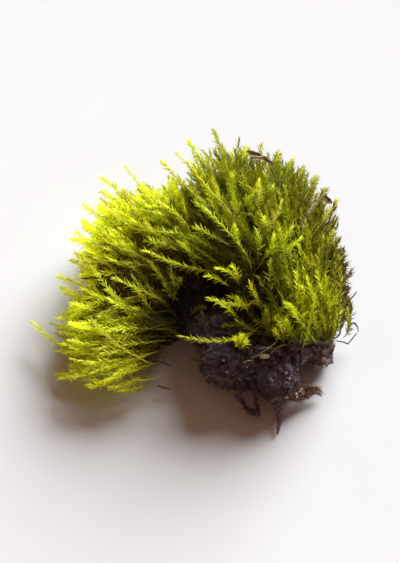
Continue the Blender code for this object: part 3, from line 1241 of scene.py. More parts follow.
@dataclass(frozen=True)
class Clearing:
    """An oval column of air, open on the soil's side, that few shoots or none stand in."""

    middle: Point
    half_width: float
    half_height: float
    keep: float = 0.0
    from_share: float = 0.3
    rise: Point = (0.0, 0.875, 0.485)

    def nearness(self, points: Array) -> Array:
        """How near points are to the column.

        Args:
            points: The points, one row each.

        Returns:
            1 in the column, easing to 0 at twice its size.
        """
        offset = points - np.array(self.middle)
        across, up = offset[..., 0] / self.half_width, offset @ np.array(self.rise) / self.half_height
        return 1.0 - eased(np.hypot(across, up), *COLUMN_EDGE)

    def spares(self, paths: Array, rng: Random) -> Array:
        """Which shoots stay: those that keep out of the column, and a share of the others.

        Args:
            paths: The shoots' middle lines.
            rng: The random numbers.

        Returns:
            True for each shoot that stays.
        """
        upper = paths[:, int(self.from_share * paths.shape[1]) :]
        inside = (self.nearness(upper) > IN_COLUMN).any(axis=1)
        return ~inside | (rng.random(len(paths)) < self.keep)


@dataclass(frozen=True)
class Shade:
    """A column of air in which leaves are painted dimmer and duller: painted shade."""

    column: Clearing
    dim: float = 0.6
    dull: float = 0.5

    def cast(self, surface: Surface) -> None:
        """Paints shade on leaves: dims and dulls them by how near they are to the column.

        Args:
            surface: The leaves, whose marks are changed.
        """
        near = self.column.nearness(surface.points)
        surface.marks["glow"] = surface.marks["glow"] * (1.0 - self.dim * near)
        surface.marks["dull"] = np.maximum(surface.marks["dull"], self.dull * near)


@dataclass(frozen=True)
class ShootCrowd:
    """A crowd of shoots over a body, pointing as its tufts say."""

    name: str
    nodes: tuple[str, ...]
    slot: Slot
    body: Body
    tufts: tuple[Tuft, ...]
    clearings: tuple[Clearing, ...]
    filling: int
    pieces: int
    features: Routes = ()
    shades: tuple[Shade, ...] = ()
    foliage: Foliage = Foliage()
    feature_glow: float = 0.3
    feature_lift: float = 0.25
    sway: float = 0.42
    sway_size: float = 1.5
    stray: float = 0.2
    sunk: float = 0.1
    uneven: float = 0.42
    lean_out: float = 0.15
    shortest: float = 3.6
    longest: float = 6.2
    path_points: int = 10
    directions: int = 8000
    spine_height: float = 0.45
    tip_error: float = 0.15
    tint_error: float = 0.13

    def spine_tips(self) -> Array:
        """The tips of the solids' own spines: points that stand further from the heart than their neighbours.

        Returns:
            The tips in millimetres, one row each.
        """
        found = [np.zeros((0, 3))]
        for node in self.nodes:
            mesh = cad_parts[node].data
            places = np.empty(3 * len(mesh.vertices))
            mesh.vertices.foreach_get("co", places)
            places, same = np.unique((places.reshape(-1, 3) / METRES).round(3), axis=0, return_inverse=True)
            ends = np.empty(2 * len(mesh.edges), np.int32)
            mesh.edges.foreach_get("vertices", ends)
            ends = same.ravel()[ends.reshape(-1, 2)]
            reach = np.linalg.norm(places - np.array(self.body.heart), axis=1)
            highest = np.zeros(len(places))
            np.maximum.at(highest, ends[:, 0], reach[ends[:, 1]])
            np.maximum.at(highest, ends[:, 1], reach[ends[:, 0]])
            found.append(places[reach > highest + self.spine_height])
        return np.vstack(found)

    def filling_tips(self, rng: Random) -> Array:
        """Tips of the shoots that stand between the spines, spread by the area that each direction covers.

        Args:
            rng: The random numbers.

        Returns:
            The tips, one row each.
        """
        ways = even_directions(self.directions)
        reach, normals = self.body.open_reach(ways)
        bare = self.body.wall_room(ways) > reach - WALL_ROOM
        surface = np.array(self.body.heart) + ways * reach[:, None]
        headings = Tuft.blended(self.tufts, surface)[0]
        open_side = (headings * normals).sum(axis=1) > TURNED_AWAY
        facing = np.maximum((ways * normals).sum(axis=1), LEAST_FACING)
        area = np.cumsum(np.where(bare & open_side, reach**2 / facing, 0.0))
        pick = (np.arange(self.filling) + rng.random(self.filling)) / self.filling
        chosen = np.searchsorted(area, pick * area[-1])
        error = np.clip(rng.normal(size=len(chosen)), *HEIGHT_ERRORS)
        height = reach[chosen] - self.sunk + self.uneven * error
        tips = np.array(self.body.heart) + ways[chosen] * height[:, None]
        return tips + rng.normal(0, self.tip_error, tips.shape)

    def paths(self, rng: Random) -> Array:
        """The shoots' middle lines, from feet in the old growth to tips on the body's open side.

        The upper half of a shoot follows its tuft's heading and the lower half turns in to where the body
        fans from.

        Args:
            rng: The random numbers.

        Returns:
            The lines, as (shoots, points, 3).
        """
        tips = np.vstack((self.spine_tips(), self.filling_tips(rng)))
        source = np.array(self.body.fan_from)
        outward = unit(tips - np.array(self.body.heart))
        drift = Grain(self.sway_size, Pattern.SWAY).drift(tips)
        sway = self.sway * drift + rng.normal(0, self.stray, tips.shape)
        heading = Tuft.blended(self.tufts, tips)[0]
        upper = unit(heading + self.lean_out * outward + sway)
        lower = unit(heading + unit(tips - source) + 0.5 * sway)
        room = FOOT_ROOM * np.linalg.norm(tips - source, axis=1)
        length = np.minimum(rng.uniform(self.shortest, self.longest, len(tips)), room)[:, None]
        crowns = tips - 0.5 * length * upper
        feet = self.body.inside_walls(crowns - 0.5 * length * lower)
        paths = arched(feet, self.body.inside_walls(crowns), tips, self.path_points)
        for clearing in self.clearings:
            paths = paths[clearing.spares(paths, rng)]
        return paths

    def build(self, material: Material, rng: Random) -> None:
        """Builds the crowd, from front to back, in pieces.

        Args:
            material: The leaves' finish.
            rng: The random numbers.
        """
        paths = self.paths(rng)
        lift = (0.0, 0.0, self.feature_lift)
        routes = [VIEW.seen(np.add(route, lift), self.body) for route in self.features]
        chosen = [smooth_curve(route, self.path_points) for route in routes]
        # Painted light: the chosen features are painted brighter than the rest of the crowd
        extra = self.feature_glow * (np.arange(len(paths) + len(chosen)) >= len(paths))
        paths = np.concatenate((paths, np.reshape(chosen, (-1, self.path_points, 3))))
        order = np.argsort(paths[:, -1, 1])
        paths, extra = paths[order], extra[order]
        _, tints = Tuft.blended(self.tufts, paths[:, -1])
        tints["glow"] = tints["glow"] + extra
        for name, limits in TINT_LIMITS.items():
            tints[name] = np.clip(tints[name] + rng.normal(0, self.tint_error, len(paths)), *limits)
        for number, rows in enumerate(np.array_split(np.arange(len(paths)), self.pieces), 1):
            some = {name: values[rows] for name, values in tints.items()}
            surface = self.foliage.grow(paths[rows], some, rng)
            for shade in self.shades:
                shade.cast(surface)
            present(surface.piece(f"{self.name}_shoots_{number}", material), self.slot, *self.nodes)


@dataclass(frozen=True)
class ChosenShoots:
    """Shoots along routes that are chosen one by one, in the picture or in millimetres, as one piece."""

    name: str
    routes: Routes
    foliage: Foliage
    tint: Tint
    slot: Slot = Slot.MOSS_BRIGHT
    nodes: tuple[str, ...] = ()
    path_points: int = 10
    in_picture: bool = True

    def build(self, material: Material, rng: Random) -> None:
        """Builds the shoots.

        Args:
            material: Their finish.
            rng: The random numbers.
        """
        routes = [VIEW.seen(route) if self.in_picture else route for route in self.routes]
        paths = np.stack([smooth_curve(route, self.path_points) for route in routes])
        surface = self.foliage.grow(paths, self.tint.evenly(len(paths)), rng)
        present(surface.piece(self.name, material), self.slot, *self.nodes)


# Soil, threads and litter: the form of small lumps, threads and strands

LUMP_RINGS = (0.25, 0.5, 0.75)
LUMP_SIDES = 5
LUMP_SQUASH = (0.4, 1.5)
LUMP_DENTS = (0.55, 1.35)
THREAD_POINTS = 13
THREAD_ENDS = 0.35
THREAD_SWELL = 0.65
THREAD_ARC = (0.12, 0.8)
TURNING = 0.24
SAG = 0.02
STRAND_POINTS = 28
STRAND_SIDES = 6
STRAND_ERRORS = (0.8, 1.2)
BROAD_SHAKE = Grain(0.7, Pattern.SHAKE)
FINE_SHAKE = Grain(0.25, Pattern.TREMBLE)
FINE_SHARE = 0.4

# How far away a root's knots are looked up, and how many ways there are for a flake to crumple
FAR_OFF = 50.0
CREASES = 99


def crumbs_on(places: Array, sizes: Array, rng: Random) -> Surface:
    """Small lumps strewn at given places: squashed, dented balls of LUMP_SIDES sides and LUMP_RINGS rings.

    Args:
        places: Their middles.
        sizes: Their radii.
        rng: The random numbers.

    Returns:
        The lumps as one surface.
    """
    count = len(places)
    ball = globe(math.pi * np.array(LUMP_RINGS), LUMP_SIDES)
    frames = np.linalg.qr(rng.normal(size=(count, 3, 3)))[0]
    frames[:, 2] = np.cross(frames[:, 0], frames[:, 1])
    frames = frames * (sizes[:, None] * rng.uniform(*LUMP_SQUASH, (count, 3)))[..., None]
    dents = rng.uniform(*LUMP_DENTS, (count, len(LUMP_RINGS), LUMP_SIDES, 1))
    rings = places[:, None, None] + np.einsum("rsk,nkd->nrsd", ball, frames) * dents
    marks = {"tone": np.repeat(rng.random(count)[:, None], len(LUMP_RINGS) + 2, axis=1)}
    return lofted(rings, places - frames[:, 2], places + frames[:, 2], marks)


def wandering(starts: Array, ways: Array, steps: Array, points: int, turning: float, rng: Random) -> Array:
    """Lines that set out along given ways and wander.

    Args:
        starts: Where the lines start, one row each.
        ways: The ways that they set out along.
        steps: The length of a step, one for each line.
        points: Points on each line.
        turning: How much each step turns aside.
        rng: The random numbers.

    Returns:
        Running sums of steps whose headings are running sums of random turns that lean down by SAG, as
        (lines, points, 3).
    """
    turns = rng.normal(0, turning, (len(starts), points - 1, 3))
    turns[..., 2] -= SAG
    headings = unit(unit(ways)[:, None] + np.cumsum(turns, axis=1))
    track = np.cumsum(headings * steps[:, None, None], axis=1)
    lines = starts[:, None] + np.concatenate((np.zeros((len(starts), 1, 3)), track), axis=1)
    lines[..., 2] = np.maximum(lines[..., 2], LOWEST_THREAD)
    return lines


def threads(lines: Array, thickness: Array, rng: Random, sides: int = 4) -> Surface:
    """Thin threads along lines, tapered to both ends.

    Args:
        lines: The middle lines, as (threads, points, 3).
        thickness: Each thread's radius.
        rng: The random numbers.
        sides: Corners across.

    Returns:
        The threads as one surface.
    """
    start, span = THREAD_ARC
    swell = np.sin(math.pi * (start + span * np.linspace(0.0, 1.0, lines.shape[1])))
    radii = thickness[:, None] * (THREAD_ENDS + THREAD_SWELL * swell)
    marks = {"tone": np.repeat(rng.random(len(lines))[:, None], lines.shape[1], axis=1)}
    return tubes(lines, radii, sides, marks)


def strands(routes: Routes, thickness: float, rng: Random, shake: float = 0.05) -> Surface:
    """Threads along chosen routes, a little shaken.

    Args:
        routes: The routes.
        thickness: The threads' radius.
        rng: The random numbers.
        shake: How far points stray from the smooth curves.

    Returns:
        The threads as one surface.
    """
    lines = np.stack([smooth_curve(route, STRAND_POINTS) for route in routes])
    lines = lines + shake * BROAD_SHAKE.drift(lines) + FINE_SHARE * shake * FINE_SHAKE.drift(lines)
    return threads(lines, thickness * rng.uniform(*STRAND_ERRORS, len(routes)), rng, STRAND_SIDES)


@dataclass(frozen=True)
class Root:
    """A root: a lumpy tapered tube along a smooth curve, with fine threads off its sides."""

    route: Route
    radius: float
    end_share: float
    lumpy: float
    bent: float = 0.07
    bend_size: float = 0.6
    knot_size: float = 0.8
    knot_places: float = 9.0
    knot_octaves: int = 3
    blunt: float = 10.0
    blunt_end: float = 0.3
    palest: float = 0.35
    stations: int = 70
    sides: int = 12
    thread_rows: tuple[int, int, int] = (3, 40, 60)
    thread_points: int = 9
    thread_steps: tuple[float, float] = (0.03, 0.09)
    thread_radii: tuple[float, float] = (0.012, 0.028)
    thread_lean: float = 0.9
    thread_turning: float = 0.25

    def surface(self, rng: Random) -> Surface:
        """The root's skin: a circle carried along its route, wide at the foot and fine at the tip.

        Args:
            rng: The random numbers.

        Returns:
            The skin.
        """
        path = smooth_curve(self.route, self.stations + 2)
        share = np.linspace(0.0, 1.0, self.stations + 2)[:, None]
        path = (path + self.bent * Grain(self.bend_size, Pattern.BENDS).drift(path))[None]
        rounded = np.minimum(1.0, self.blunt * (1.0 - share) + self.blunt_end)
        taper = self.radius * (1.0 - (1.0 - self.end_share) * share) * rounded
        turn = 2 * math.pi * np.arange(self.sides)[None] / self.sides
        around = np.broadcast_arrays(np.cos(turn), np.sin(turn), self.knot_places * share)
        knots = np.stack(around, axis=-1) + rng.uniform(0, FAR_OFF)
        rough = Grain(self.knot_size, Pattern.KNOTS).rough(knots, self.knot_octaves)
        marks = {"tone": np.repeat(self.palest * rng.random((1, 1)), self.stations + 2, axis=1)}
        return tubes(path, (taper * (1.0 + self.lumpy * rough))[None], self.sides, marks)

    def side_threads(self, count: int, rng: Random) -> Surface:
        """Fine threads that leave the root on all sides between two of its rows, leaning to its tip.

        Args:
            count: How many threads.
            rng: The random numbers.

        Returns:
            The threads.
        """
        first, last, total = self.thread_rows
        path = smooth_curve(self.route, total)
        rows = rng.integers(first, last, count)
        ahead = unit(np.gradient(path, axis=0))[rows]
        ways = unit(rng.normal(size=(count, 3)) + self.thread_lean * ahead)
        steps = rng.uniform(*self.thread_steps, count)
        lines = wandering(path[rows], ways, steps, self.thread_points, self.thread_turning, rng)
        return threads(lines, rng.uniform(*self.thread_radii, count), rng)


@dataclass(frozen=True)
class EarthBody:
    """A body of soil or old growth: a rough skin, strewn with crumbs and bound by wandering threads.

    Most crumbs are small, because their sizes follow the cube of an even random number.
    """

    name: str
    node: str
    slot: Slot
    body: Body
    relief: Relief = Relief()
    rows: int = 130
    columns: int = 200
    crumbs: int = 1200
    crumb_sizes: tuple[float, float] = (0.04, 0.16)
    thread_count: int = 650
    thread_step: float = 0.14
    thread_radius: float = 0.017
    loose: float = 0.6
    hug: float = 0.8
    root_threads: int = 16
    roots: tuple[Root, ...] = ()
    crumb_lift: float = 0.2
    # How strongly shade is painted on the clod's top
    wetness: float = 0.8
    step_errors: tuple[float, float] = (0.4, 1.4)
    radius_errors: tuple[float, float] = (0.5, 1.7)
    thread_lift: float = 0.04

    def build(self, material: Material, thread_material: Material, rng: Random) -> None:
        """Builds the body's skin with its roots, its crumbs and its threads.

        Args:
            material: The finish of the skin and the crumbs.
            thread_material: The finish of the threads.
            rng: The random numbers.
        """
        skin = self.body.rough_skin(self.rows, self.columns, self.relief)
        parts = [skin] + [root.surface(rng) for root in self.roots]
        ways = unit(rng.normal(size=(self.crumbs + self.thread_count, 3)))
        feet = np.array(self.body.heart) + ways * self.relief.reach(self.body, ways)[:, None]
        small, large = self.crumb_sizes
        sizes = small + (large - small) * rng.random(self.crumbs) ** 3
        middles = feet[: self.crumbs] + ways[: self.crumbs] * self.crumb_lift * sizes[:, None]
        parts.append(crumbs_on(middles, sizes, rng))
        whole = Surface.joined(parts)
        # Painted shade: the shade mark darkens the skin in and near the hollow between the lobes, and on the
        # clod's top below it
        top_shade = self.wetness * SHADED_TOP.nearness(whole.points)
        whole.marks["shade"] = np.maximum(HOLLOW.nearness(whole.points), top_shade)
        present(whole.piece(f"{self.name}_skin", material), self.slot, self.node)

        starts, out = feet[self.crumbs :], ways[self.crumbs :]
        aside = unit(np.cross(out, rng.normal(size=out.shape)))
        skew = unit(aside + self.loose * rng.random((len(out), 1)) * out)
        steps = self.thread_step * rng.uniform(*self.step_errors, len(starts))
        lines = self.clinging(wandering(starts, skew, steps, THREAD_POINTS, TURNING, rng))
        radii = self.thread_radius * rng.uniform(*self.radius_errors, len(starts))
        parts = [threads(lines, radii, rng)]
        parts += [root.side_threads(self.root_threads, rng) for root in self.roots]
        present(Surface.joined(parts).piece(f"{self.name}_threads", thread_material), Slot.RHIZOIDS)

    def clinging(self, lines: Array) -> Array:
        """Threads pulled towards the rough skin where they have wandered off it, or just out of it.

        Args:
            lines: The threads' middle lines.

        Returns:
            The lines, each point moved along its direction from the heart.
        """
        heart = np.array(self.body.heart)
        offset = (lines - heart).reshape(-1, 3)
        away = np.linalg.norm(offset, axis=1)
        ways = offset / away[:, None]
        over = away - self.relief.reach(self.body, ways)
        target = away - np.where(over > 0.0, self.hug * over, over - self.thread_lift)
        return (heart + ways * target[:, None]).reshape(lines.shape)


@dataclass(frozen=True)
class Flake:
    """A thin dead leaf, curled across, crumpled and pointed at both ends."""

    name: str
    routes: Routes
    half_width: float
    curl: float
    thickness: float = 0.035
    crumple: float = 0.09
    crumple_size: float = 0.45
    upward: Point = (0.0, -0.3, 1.0)
    end_width: float = 0.25
    edge_wave: float = 0.2
    edge_waves: float = 17.0
    bands: float = 7.0
    stations: int = 40
    across: int = 12

    def strip(self, route: Route, rng: Random) -> Surface:
        """One strip: an arc carried along the route, walked out on its upper side and back below.

        At angle a across, a point is width * (sin a side + (1 - cos a) up) / curl from the middle line.

        Args:
            route: The strip's middle line.
            rng: The random numbers.

        Returns:
            The strip's skin.
        """
        path = smooth_curve(route, self.stations + 2)
        ahead = unit(np.gradient(path, axis=0))
        side = unit(np.cross(ahead, self.upward))
        up = np.cross(side, ahead)
        share = np.linspace(0.0, 1.0, self.stations + 2)
        width = self.half_width * (self.end_width + (1 - self.end_width) * np.sin(math.pi * share))
        width = width * (1 + self.edge_wave * np.sin(self.edge_waves * share))
        angle = self.curl * np.linspace(-1.0, 1.0, self.across)
        angle = np.concatenate((angle, angle[::-1]))[None]
        lift = np.repeat((0.5, -0.5), self.across)[None] * self.thickness
        bow = width[:, None] / self.curl - lift
        rings = path[:, None] + (bow * np.sin(angle))[..., None] * side[:, None]
        rings = rings + (width[:, None] / self.curl - bow * np.cos(angle))[..., None] * up[:, None]
        creased = rings - lift[..., None] * up[:, None]
        rings = rings + self.crumple * Grain(self.crumple_size, rng.integers(CREASES)).drift(creased)
        marks = {"tone": 0.5 + 0.5 * np.sin(self.bands * share)[None]}
        return lofted(rings[None, 1:-1, ::-1], path[:1], path[-1:], marks)

    def build(self, material: Material, rng: Random) -> None:
        """Builds the flake's strips as one piece, shaded softly."""
        surface = Surface.joined([self.strip(route, rng) for route in self.routes])
        present(surface.piece(f"{self.name}_flake", material, True), Slot.LITTER, self.name)


@dataclass(frozen=True)
class DeadStem:
    """A dry broken stem with a few fibres off its sides."""

    name: str
    route: Route
    radius: float
    end_share: float = 0.8
    lumpy: float = 0.22
    fibres: int = 14

    def build(self, material: Material, rng: Random) -> None:
        """Builds the stem and its fibres.

        Args:
            material: Its finish.
            rng: The random numbers.
        """
        root = Root(self.route, self.radius, self.end_share, self.lumpy)
        surface = Surface.joined([root.surface(rng), root.side_threads(self.fibres, rng)])
        present(surface.piece(f"{self.name}_fibres", material), Slot.DEAD_STEM, self.name)


@dataclass(frozen=True)
class DeadFringe:
    """Short dead shoots, bowed outwards, with their feet strewn along a line."""

    name: str
    line: tuple[Point, Point]
    foliage: Foliage
    tint: Tint
    count: int = 34
    strewn: float = 0.25
    rise: Point = (0.5, 0.7, 0.3)
    bow: Point = (0.2, 0.0, 0.2)
    bow_error: float = 0.2
    path_points: int = 12

    def build(self, material: Material, rng: Random) -> None:
        """Builds the fringe.

        Args:
            material: Its finish.
            rng: The random numbers.
        """
        size = (self.count, 3)
        feet = np.linspace(*self.line, self.count) + rng.normal(0, self.strewn, size)
        tips = feet + self.rise + rng.normal(0, self.strewn, size)
        crowns = (feet + tips) / 2 + self.bow + rng.normal(0, self.bow_error, size)
        paths = arched(feet, crowns, tips, self.path_points)
        surface = self.foliage.grow(paths, self.tint.evenly(self.count), rng)
        present(surface.piece(self.name, material), Slot.LITTER)


@dataclass(frozen=True)
class SeedHusk:
    """A small pale husk, ridged and dented, with straws and pale grains about it."""

    name: str
    middle: Point
    radii: Point
    straws: Routes
    grains: tuple[Point, ...]
    ribs: int = 9
    rib_height: float = 0.09
    dent: float = 0.3
    dent_at: float = 1.6
    dent_spread: float = 0.2
    lean: tuple[float, float] = (-0.08, 0.2)
    rows: int = 24
    columns: int = 36
    straw_radius: float = 0.019
    straw_shake: float = 0.08
    grain_sizes: tuple[float, float] = (0.07, 0.13)

    def build(self, husk: Material, straw: Material, grit: Material, rng: Random) -> None:
        """Builds the husk, its straws and a few pale grains.

        The husk is an ellipsoid whose radius swings by rib_height once for each rib, and dips by dent
        exp(-(turn - dent_at)^2 / dent_spread).

        Args:
            husk: The husk's finish.
            straw: The straws' finish.
            grit: The grains' finish.
            rng: The random numbers.
        """
        polar = math.pi * (np.arange(self.rows) + 1.0)[:, None] / (self.rows + 1.0)
        turn = 2 * math.pi * np.arange(self.columns)[None] / self.columns
        ribbed = self.rib_height * np.cos(self.ribs * turn) * np.sin(polar)
        swell = 1.0 + ribbed - self.dent * np.exp(-((turn - self.dent_at) ** 2) / self.dent_spread)
        long, wide, high = self.radii
        aside, up = self.lean
        along = -np.cos(polar) * long + 0 * turn
        across = wide * np.sin(polar) * np.cos(turn) * swell + aside * along
        over = high * np.sin(polar) * np.sin(turn) * swell + up * along
        rings = np.array(self.middle) + np.stack((along, across, over), axis=-1)
        end = long * np.array((1.0, aside, up))
        ends = np.array(self.middle) + np.stack((-end, end))
        surface = lofted(rings[None], ends[:1], ends[1:])
        present(surface.piece(f"{self.name}_ridged", husk, True), Slot.HUSK, self.name)
        seen = [VIEW.seen(route) for route in self.straws]
        stalks = strands(seen, self.straw_radius, rng, self.straw_shake)
        present(stalks.piece("pale_straws", straw), Slot.HUSK)
        grains = crumbs_on(VIEW.seen(self.grains), rng.uniform(*self.grain_sizes, len(self.grains)), rng)
        present(grains.piece("pale_grains", grit), Slot.HUSK)


def present(piece: bpy.types.Object, slot: Slot, *nodes: str) -> None:
    """Lets a piece ride on the clump and hides the solids that it stands for.

    Args:
        piece: The piece.
        slot: The record's finish that it is painted with; not used.
        nodes: The solids that it stands for.
    """
    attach(piece, "root")
    if nodes:
        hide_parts(*nodes)
    LOG.info("%s: %d triangles", piece.name, len(piece.data.polygons))


@dataclass(frozen=True)
class Lamp:
    """Light from one side: a disc in the sky, seen from everywhere under the same angle."""

    name: str
    elevation: float
    azimuth: float
    softness: float
    strength: float
    colour: Colour

    def build(self) -> None:
        """Adds the lamp: its light comes from behind the clump, turned by the azimuth to the right."""
        lamp = bpy.data.lights.new(self.name, "SUN")
        lamp.energy = self.strength
        lamp.angle = math.radians(self.softness)
        lamp.color = self.colour
        holder = bpy.data.objects.new(self.name, lamp)
        holder.rotation_euler = (math.radians(self.elevation - 90.0), 0.0, -math.radians(self.azimuth))
        bpy.context.scene.collection.objects.link(holder)


@dataclass(frozen=True)
class Studio:
    """A pale floor, a soft lamp behind on the right, a very broad one above, and the camera."""

    view: View = VIEW
    floor_side: float = 3000.0
    sensor_width: float = 36.0
    camera_sees: tuple[float, float] = (0.001, 20.0)
    surroundings: Colour = (0.215, 0.105, 0.066)
    lamps: tuple[Lamp, ...] = (
        Lamp("soft_lamp", 34.5, 31.0, 40.0, 7.45, (0.95, 0.98, 1.0)),
        Lamp("broad_lamp", 60.0, 15.0, 110.0, 0.1, (0.97, 0.98, 1.0)),
    )

    def build(self) -> None:
        """Sets up the floor, the lamps, the dim warm light from all round and the camera."""
        self._floor()
        for lamp in self.lamps:
            lamp.build()
        world = bpy.data.worlds.new("surroundings")
        world.use_nodes = True
        world.node_tree.nodes["Background"].inputs["Color"].default_value = (*self.surroundings, 1.0)
        bpy.context.scene.world = world
        bpy.context.scene.view_settings.view_transform = "Standard"
        self._camera()

    def _floor(self) -> None:
        """A plain pale square under the clump."""
        half = self.floor_side / 2 * METRES
        mesh = bpy.data.meshes.new("floor")
        square = [(-half, -half, 0.0), (half, -half, 0.0), (half, half, 0.0), (-half, half, 0.0)]
        mesh.from_pydata(square, [], [(0, 1, 2, 3)])
        mesh.materials.append(PaperFinish().material())
        floor = bpy.data.objects.new("floor", mesh)
        bpy.context.scene.collection.objects.link(floor)

    def _camera(self) -> None:
        """The camera at the view's own place."""
        lens = bpy.data.cameras.new("camera")
        lens.sensor_width = self.sensor_width
        lens.lens = lens.sensor_width * self.view.focal_pixels / self.view.height
        lens.clip_start, lens.clip_end = self.camera_sees
        camera = bpy.data.objects.new("camera", lens)
        camera.location = self.view.camera() * METRES
        camera.rotation_euler = (math.radians(90.0 - self.view.elevation), 0.0, 0.0)
        bpy.context.scene.collection.objects.link(camera)
        bpy.context.scene.camera = camera


# The clump's own places

HOLLOW = Clearing((0.15, -1.5, 3.5), 1.35, 2.1)
HIGH_HOLLOW = Clearing((1.3, 0.2, 6.0), 0.95, 0.75, keep=0.15, from_share=0.4)
SPARSE_FRONT = Clearing((3.0, -2.8, 5.5), 1.6, 2.6, keep=0.07, from_share=0.15)
LEFT_HOLLOW = Clearing((-2.3, -2.1, 4.5), 1.25, 1.05, keep=0.2, from_share=0.2)
LOWER_GAP = Clearing((-1.0, -5.3, 2.0), 1.4, 1.9, from_share=0.2)
NOTCH = Clearing((-2.4, 5.9, 5.5), 0.8, 0.8, from_share=0.4)
# Where shade is painted on the clod's top, below the hollow
SHADED_TOP = Clearing((2.2, -3.5, 4.0), 1.9, 1.6)
# Painted shade on the leaves below and left of the hollow, and right of it at the front of the right lobe
LEFT_SHADE = Shade(Clearing((-1.3, -3.1, 3.0), 1.3, 1.0), 0.5, 0.5)
FRONT_SHADE = Shade(Clearing((3.8, -2.8, 5.5), 0.8, 1.4), 0.45, 0.2)

# In each tuft the fourth number is painted light or shade, scaling the leaves brighter or darker there; the
# fifth browns them, as painted shade in the low left tufts and over the seam
RIGHT_TUFTS = (
    Tuft((-0.8, 6.4, 6.6), (-0.56, 0.70, 0.45), 0.35, 1.08),
    Tuft((1.2, 7.9, 6.5), (-0.28, 0.84, 0.47), 0.35, 0.95),
    Tuft((4.2, 6.5, 6.5), (0.09, 0.87, 0.48), 0.25, 0.82, 0.1),
    Tuft((7.3, 3.7, 6.0), (0.41, 0.80, 0.44), 0.35, 0.84, 0.3),
    Tuft((8.6, 0.5, 4.5), (0.17, 0.81, 0.57), 0.4, 0.83, 0.35),
    Tuft((7.1, -3.0, 5.3), (0.03, 0.70, 0.79), 0.35, 1.28),
    Tuft((4.0, -0.5, 8.4), (-0.14, 0.70, 0.79), 0.2, 0.97),
    Tuft((1.2, 1.8, 8.0), (-0.52, 0.63, 0.63), 0.25, 1.12),
    Tuft((-0.2, 0.6, 6.6), (-0.83, 0.37, 0.49), 0.2, 1.05),
    Tuft((1.2, -1.9, 6.5), (-0.91, 0.21, 0.46), 0.35, 1.1),
    Tuft((3.2, -3.5, 7.0), (-0.62, 0.45, 0.82), 0.25, 1.25),
    Tuft((5.4, -4.4, 5.6), (-0.22, 0.61, 0.91), 0.25, 1.35),
    Tuft((4.0, 7.5, 2.5), (0.0, 1.0, 0.0), 0.0, 0.8),
    Tuft((8.0, 4.0, 2.0), (0.6, 0.8, 0.1), 0.2, 0.9, 0.3),
)
LEFT_TUFTS = (
    Tuft((-3.9, 5.7, 5.5), (-0.60, 0.70, 0.39), 0.25, 1.22),
    Tuft((-6.3, 4.4, 4.0), (-0.84, 0.48, 0.26), 0.25, 1.28),
    Tuft((-7.3, 2.4, 3.5), (-0.90, 0.38, 0.21), 0.25, 1.33),
    Tuft((-7.9, 0.0, 3.0), (-0.97, 0.20, 0.17), 0.2, 1.33),
    Tuft((-7.7, -3.2, 2.6), (-0.99, 0.12, 0.07), 0.15, 1.28),
    Tuft((-7.9, -5.4, 1.2), (-1.0, -0.03, -0.02), 0.0, 1.28),
    Tuft((-4.9, -6.1, 1.2), (-1.0, -0.09, 0.01), 0.0, 1.28),
    Tuft((-3.9, -2.5, 5.0), (-0.94, 0.15, 0.43), 0.1, 1.38),
    Tuft((-2.5, -4.7, 3.0), (-0.99, -0.02, 0.33), 0.0, 0.7, 0.7),
    Tuft((-2.3, -5.5, 1.4), (-0.99, -0.05, 0.1), 0.0, 0.75, 0.7),
    Tuft((-2.9, -0.6, 5.4), (-0.9, 0.3, 0.45), 0.1, 0.88),
    Tuft((-2.5, 0.8, 6.3), (-0.85, 0.34, 0.48), 0.25, 1.2),
    Tuft((-4.0, 6.5, 2.5), (-0.4, 0.9, 0.05), 0.0, 0.9),
)
SEAM_TUFTS = RIGHT_TUFTS[:1] + RIGHT_TUFTS[7:10] + LEFT_TUFTS[-2:] + (
    Tuft((-0.2, 3.0, 6.8), (-0.5, 0.7, 0.5), 0.0, 0.55, 0.15),
)
SEAM_BODY = Body((-0.3, 1.6, 3.0), (Swell((-0.5, 2.0, 3.8), (2.2, 3.5, 2.8)),), (FLOOR,), (1.6, -1.6, 3.0))
SEAM_CORE = Body((-0.3, 2.4, 3.0), (Swell((-0.4, 2.6, 3.4), (1.7, 2.5, 2.3)),), (FLOOR,))

# Routes in the picture: for each point its pixel, across and down, and its nearness in millimetres, as
# View.seen takes them.
FRONT_SHOOTS = (
    ((263, 314, 3.0), (258, 300, 3.5), (253, 290, 3.6), (249, 279, 3.6)),
    ((249, 317, 2.6), (246, 308, 3.1), (238, 304, 3.3), (222, 303, 3.3), (206, 297, 3.2)),
    ((242, 322, 2.6), (235, 315, 3.0), (227, 308, 3.2), (219, 303, 3.3)),
    ((249, 312, 2.5), (243, 303, 2.8), (234, 295, 2.9)),
    ((230, 287, 2.6), (221, 281, 3.2), (212, 277, 3.3), (205, 276, 3.3)),
    ((240, 287, 2.7), (235, 277, 3.2), (226, 271, 3.4), (213, 267, 3.4)),
    ((239, 284, 2.7), (237, 274, 3.2), (230, 262, 3.3)),
    ((266, 324, 2.9), (271, 314, 3.4), (280, 310, 3.5), (293, 304, 3.5)),
    ((262, 322, 2.8), (266, 313, 3.4), (265, 305, 3.4)),
    ((267, 328, 2.9), (269, 321, 3.4), (273, 317, 3.5)),
    ((284, 343, 3.3), (283, 334, 3.6), (280, 325, 3.7), (272, 314, 3.7)),
    ((292, 343, 3.2), (291, 333, 3.6), (288, 324, 3.7), (284, 315, 3.7)),
    ((284, 343, 3.3), (278, 335, 3.6), (274, 326, 3.6)),
    ((240, 350, 3.3), (240, 341, 3.8), (243, 332, 3.9)),
    ((240, 350, 3.3), (237, 343, 3.8), (235, 336, 3.8)),
    ((241, 350, 3.3), (244, 344, 3.8), (247, 338, 3.8)),
)
FORK_SHOOTS = (
    ((172, 304, 2.1), (175, 292, 2.8), (174, 280, 3.1), (169, 266, 3.1)),
    ((175, 293, 2.6), (178, 284, 3.0), (181, 277, 3.1)),
    ((173, 299, 2.4), (168, 291, 2.9), (166, 282, 3.0)),
)
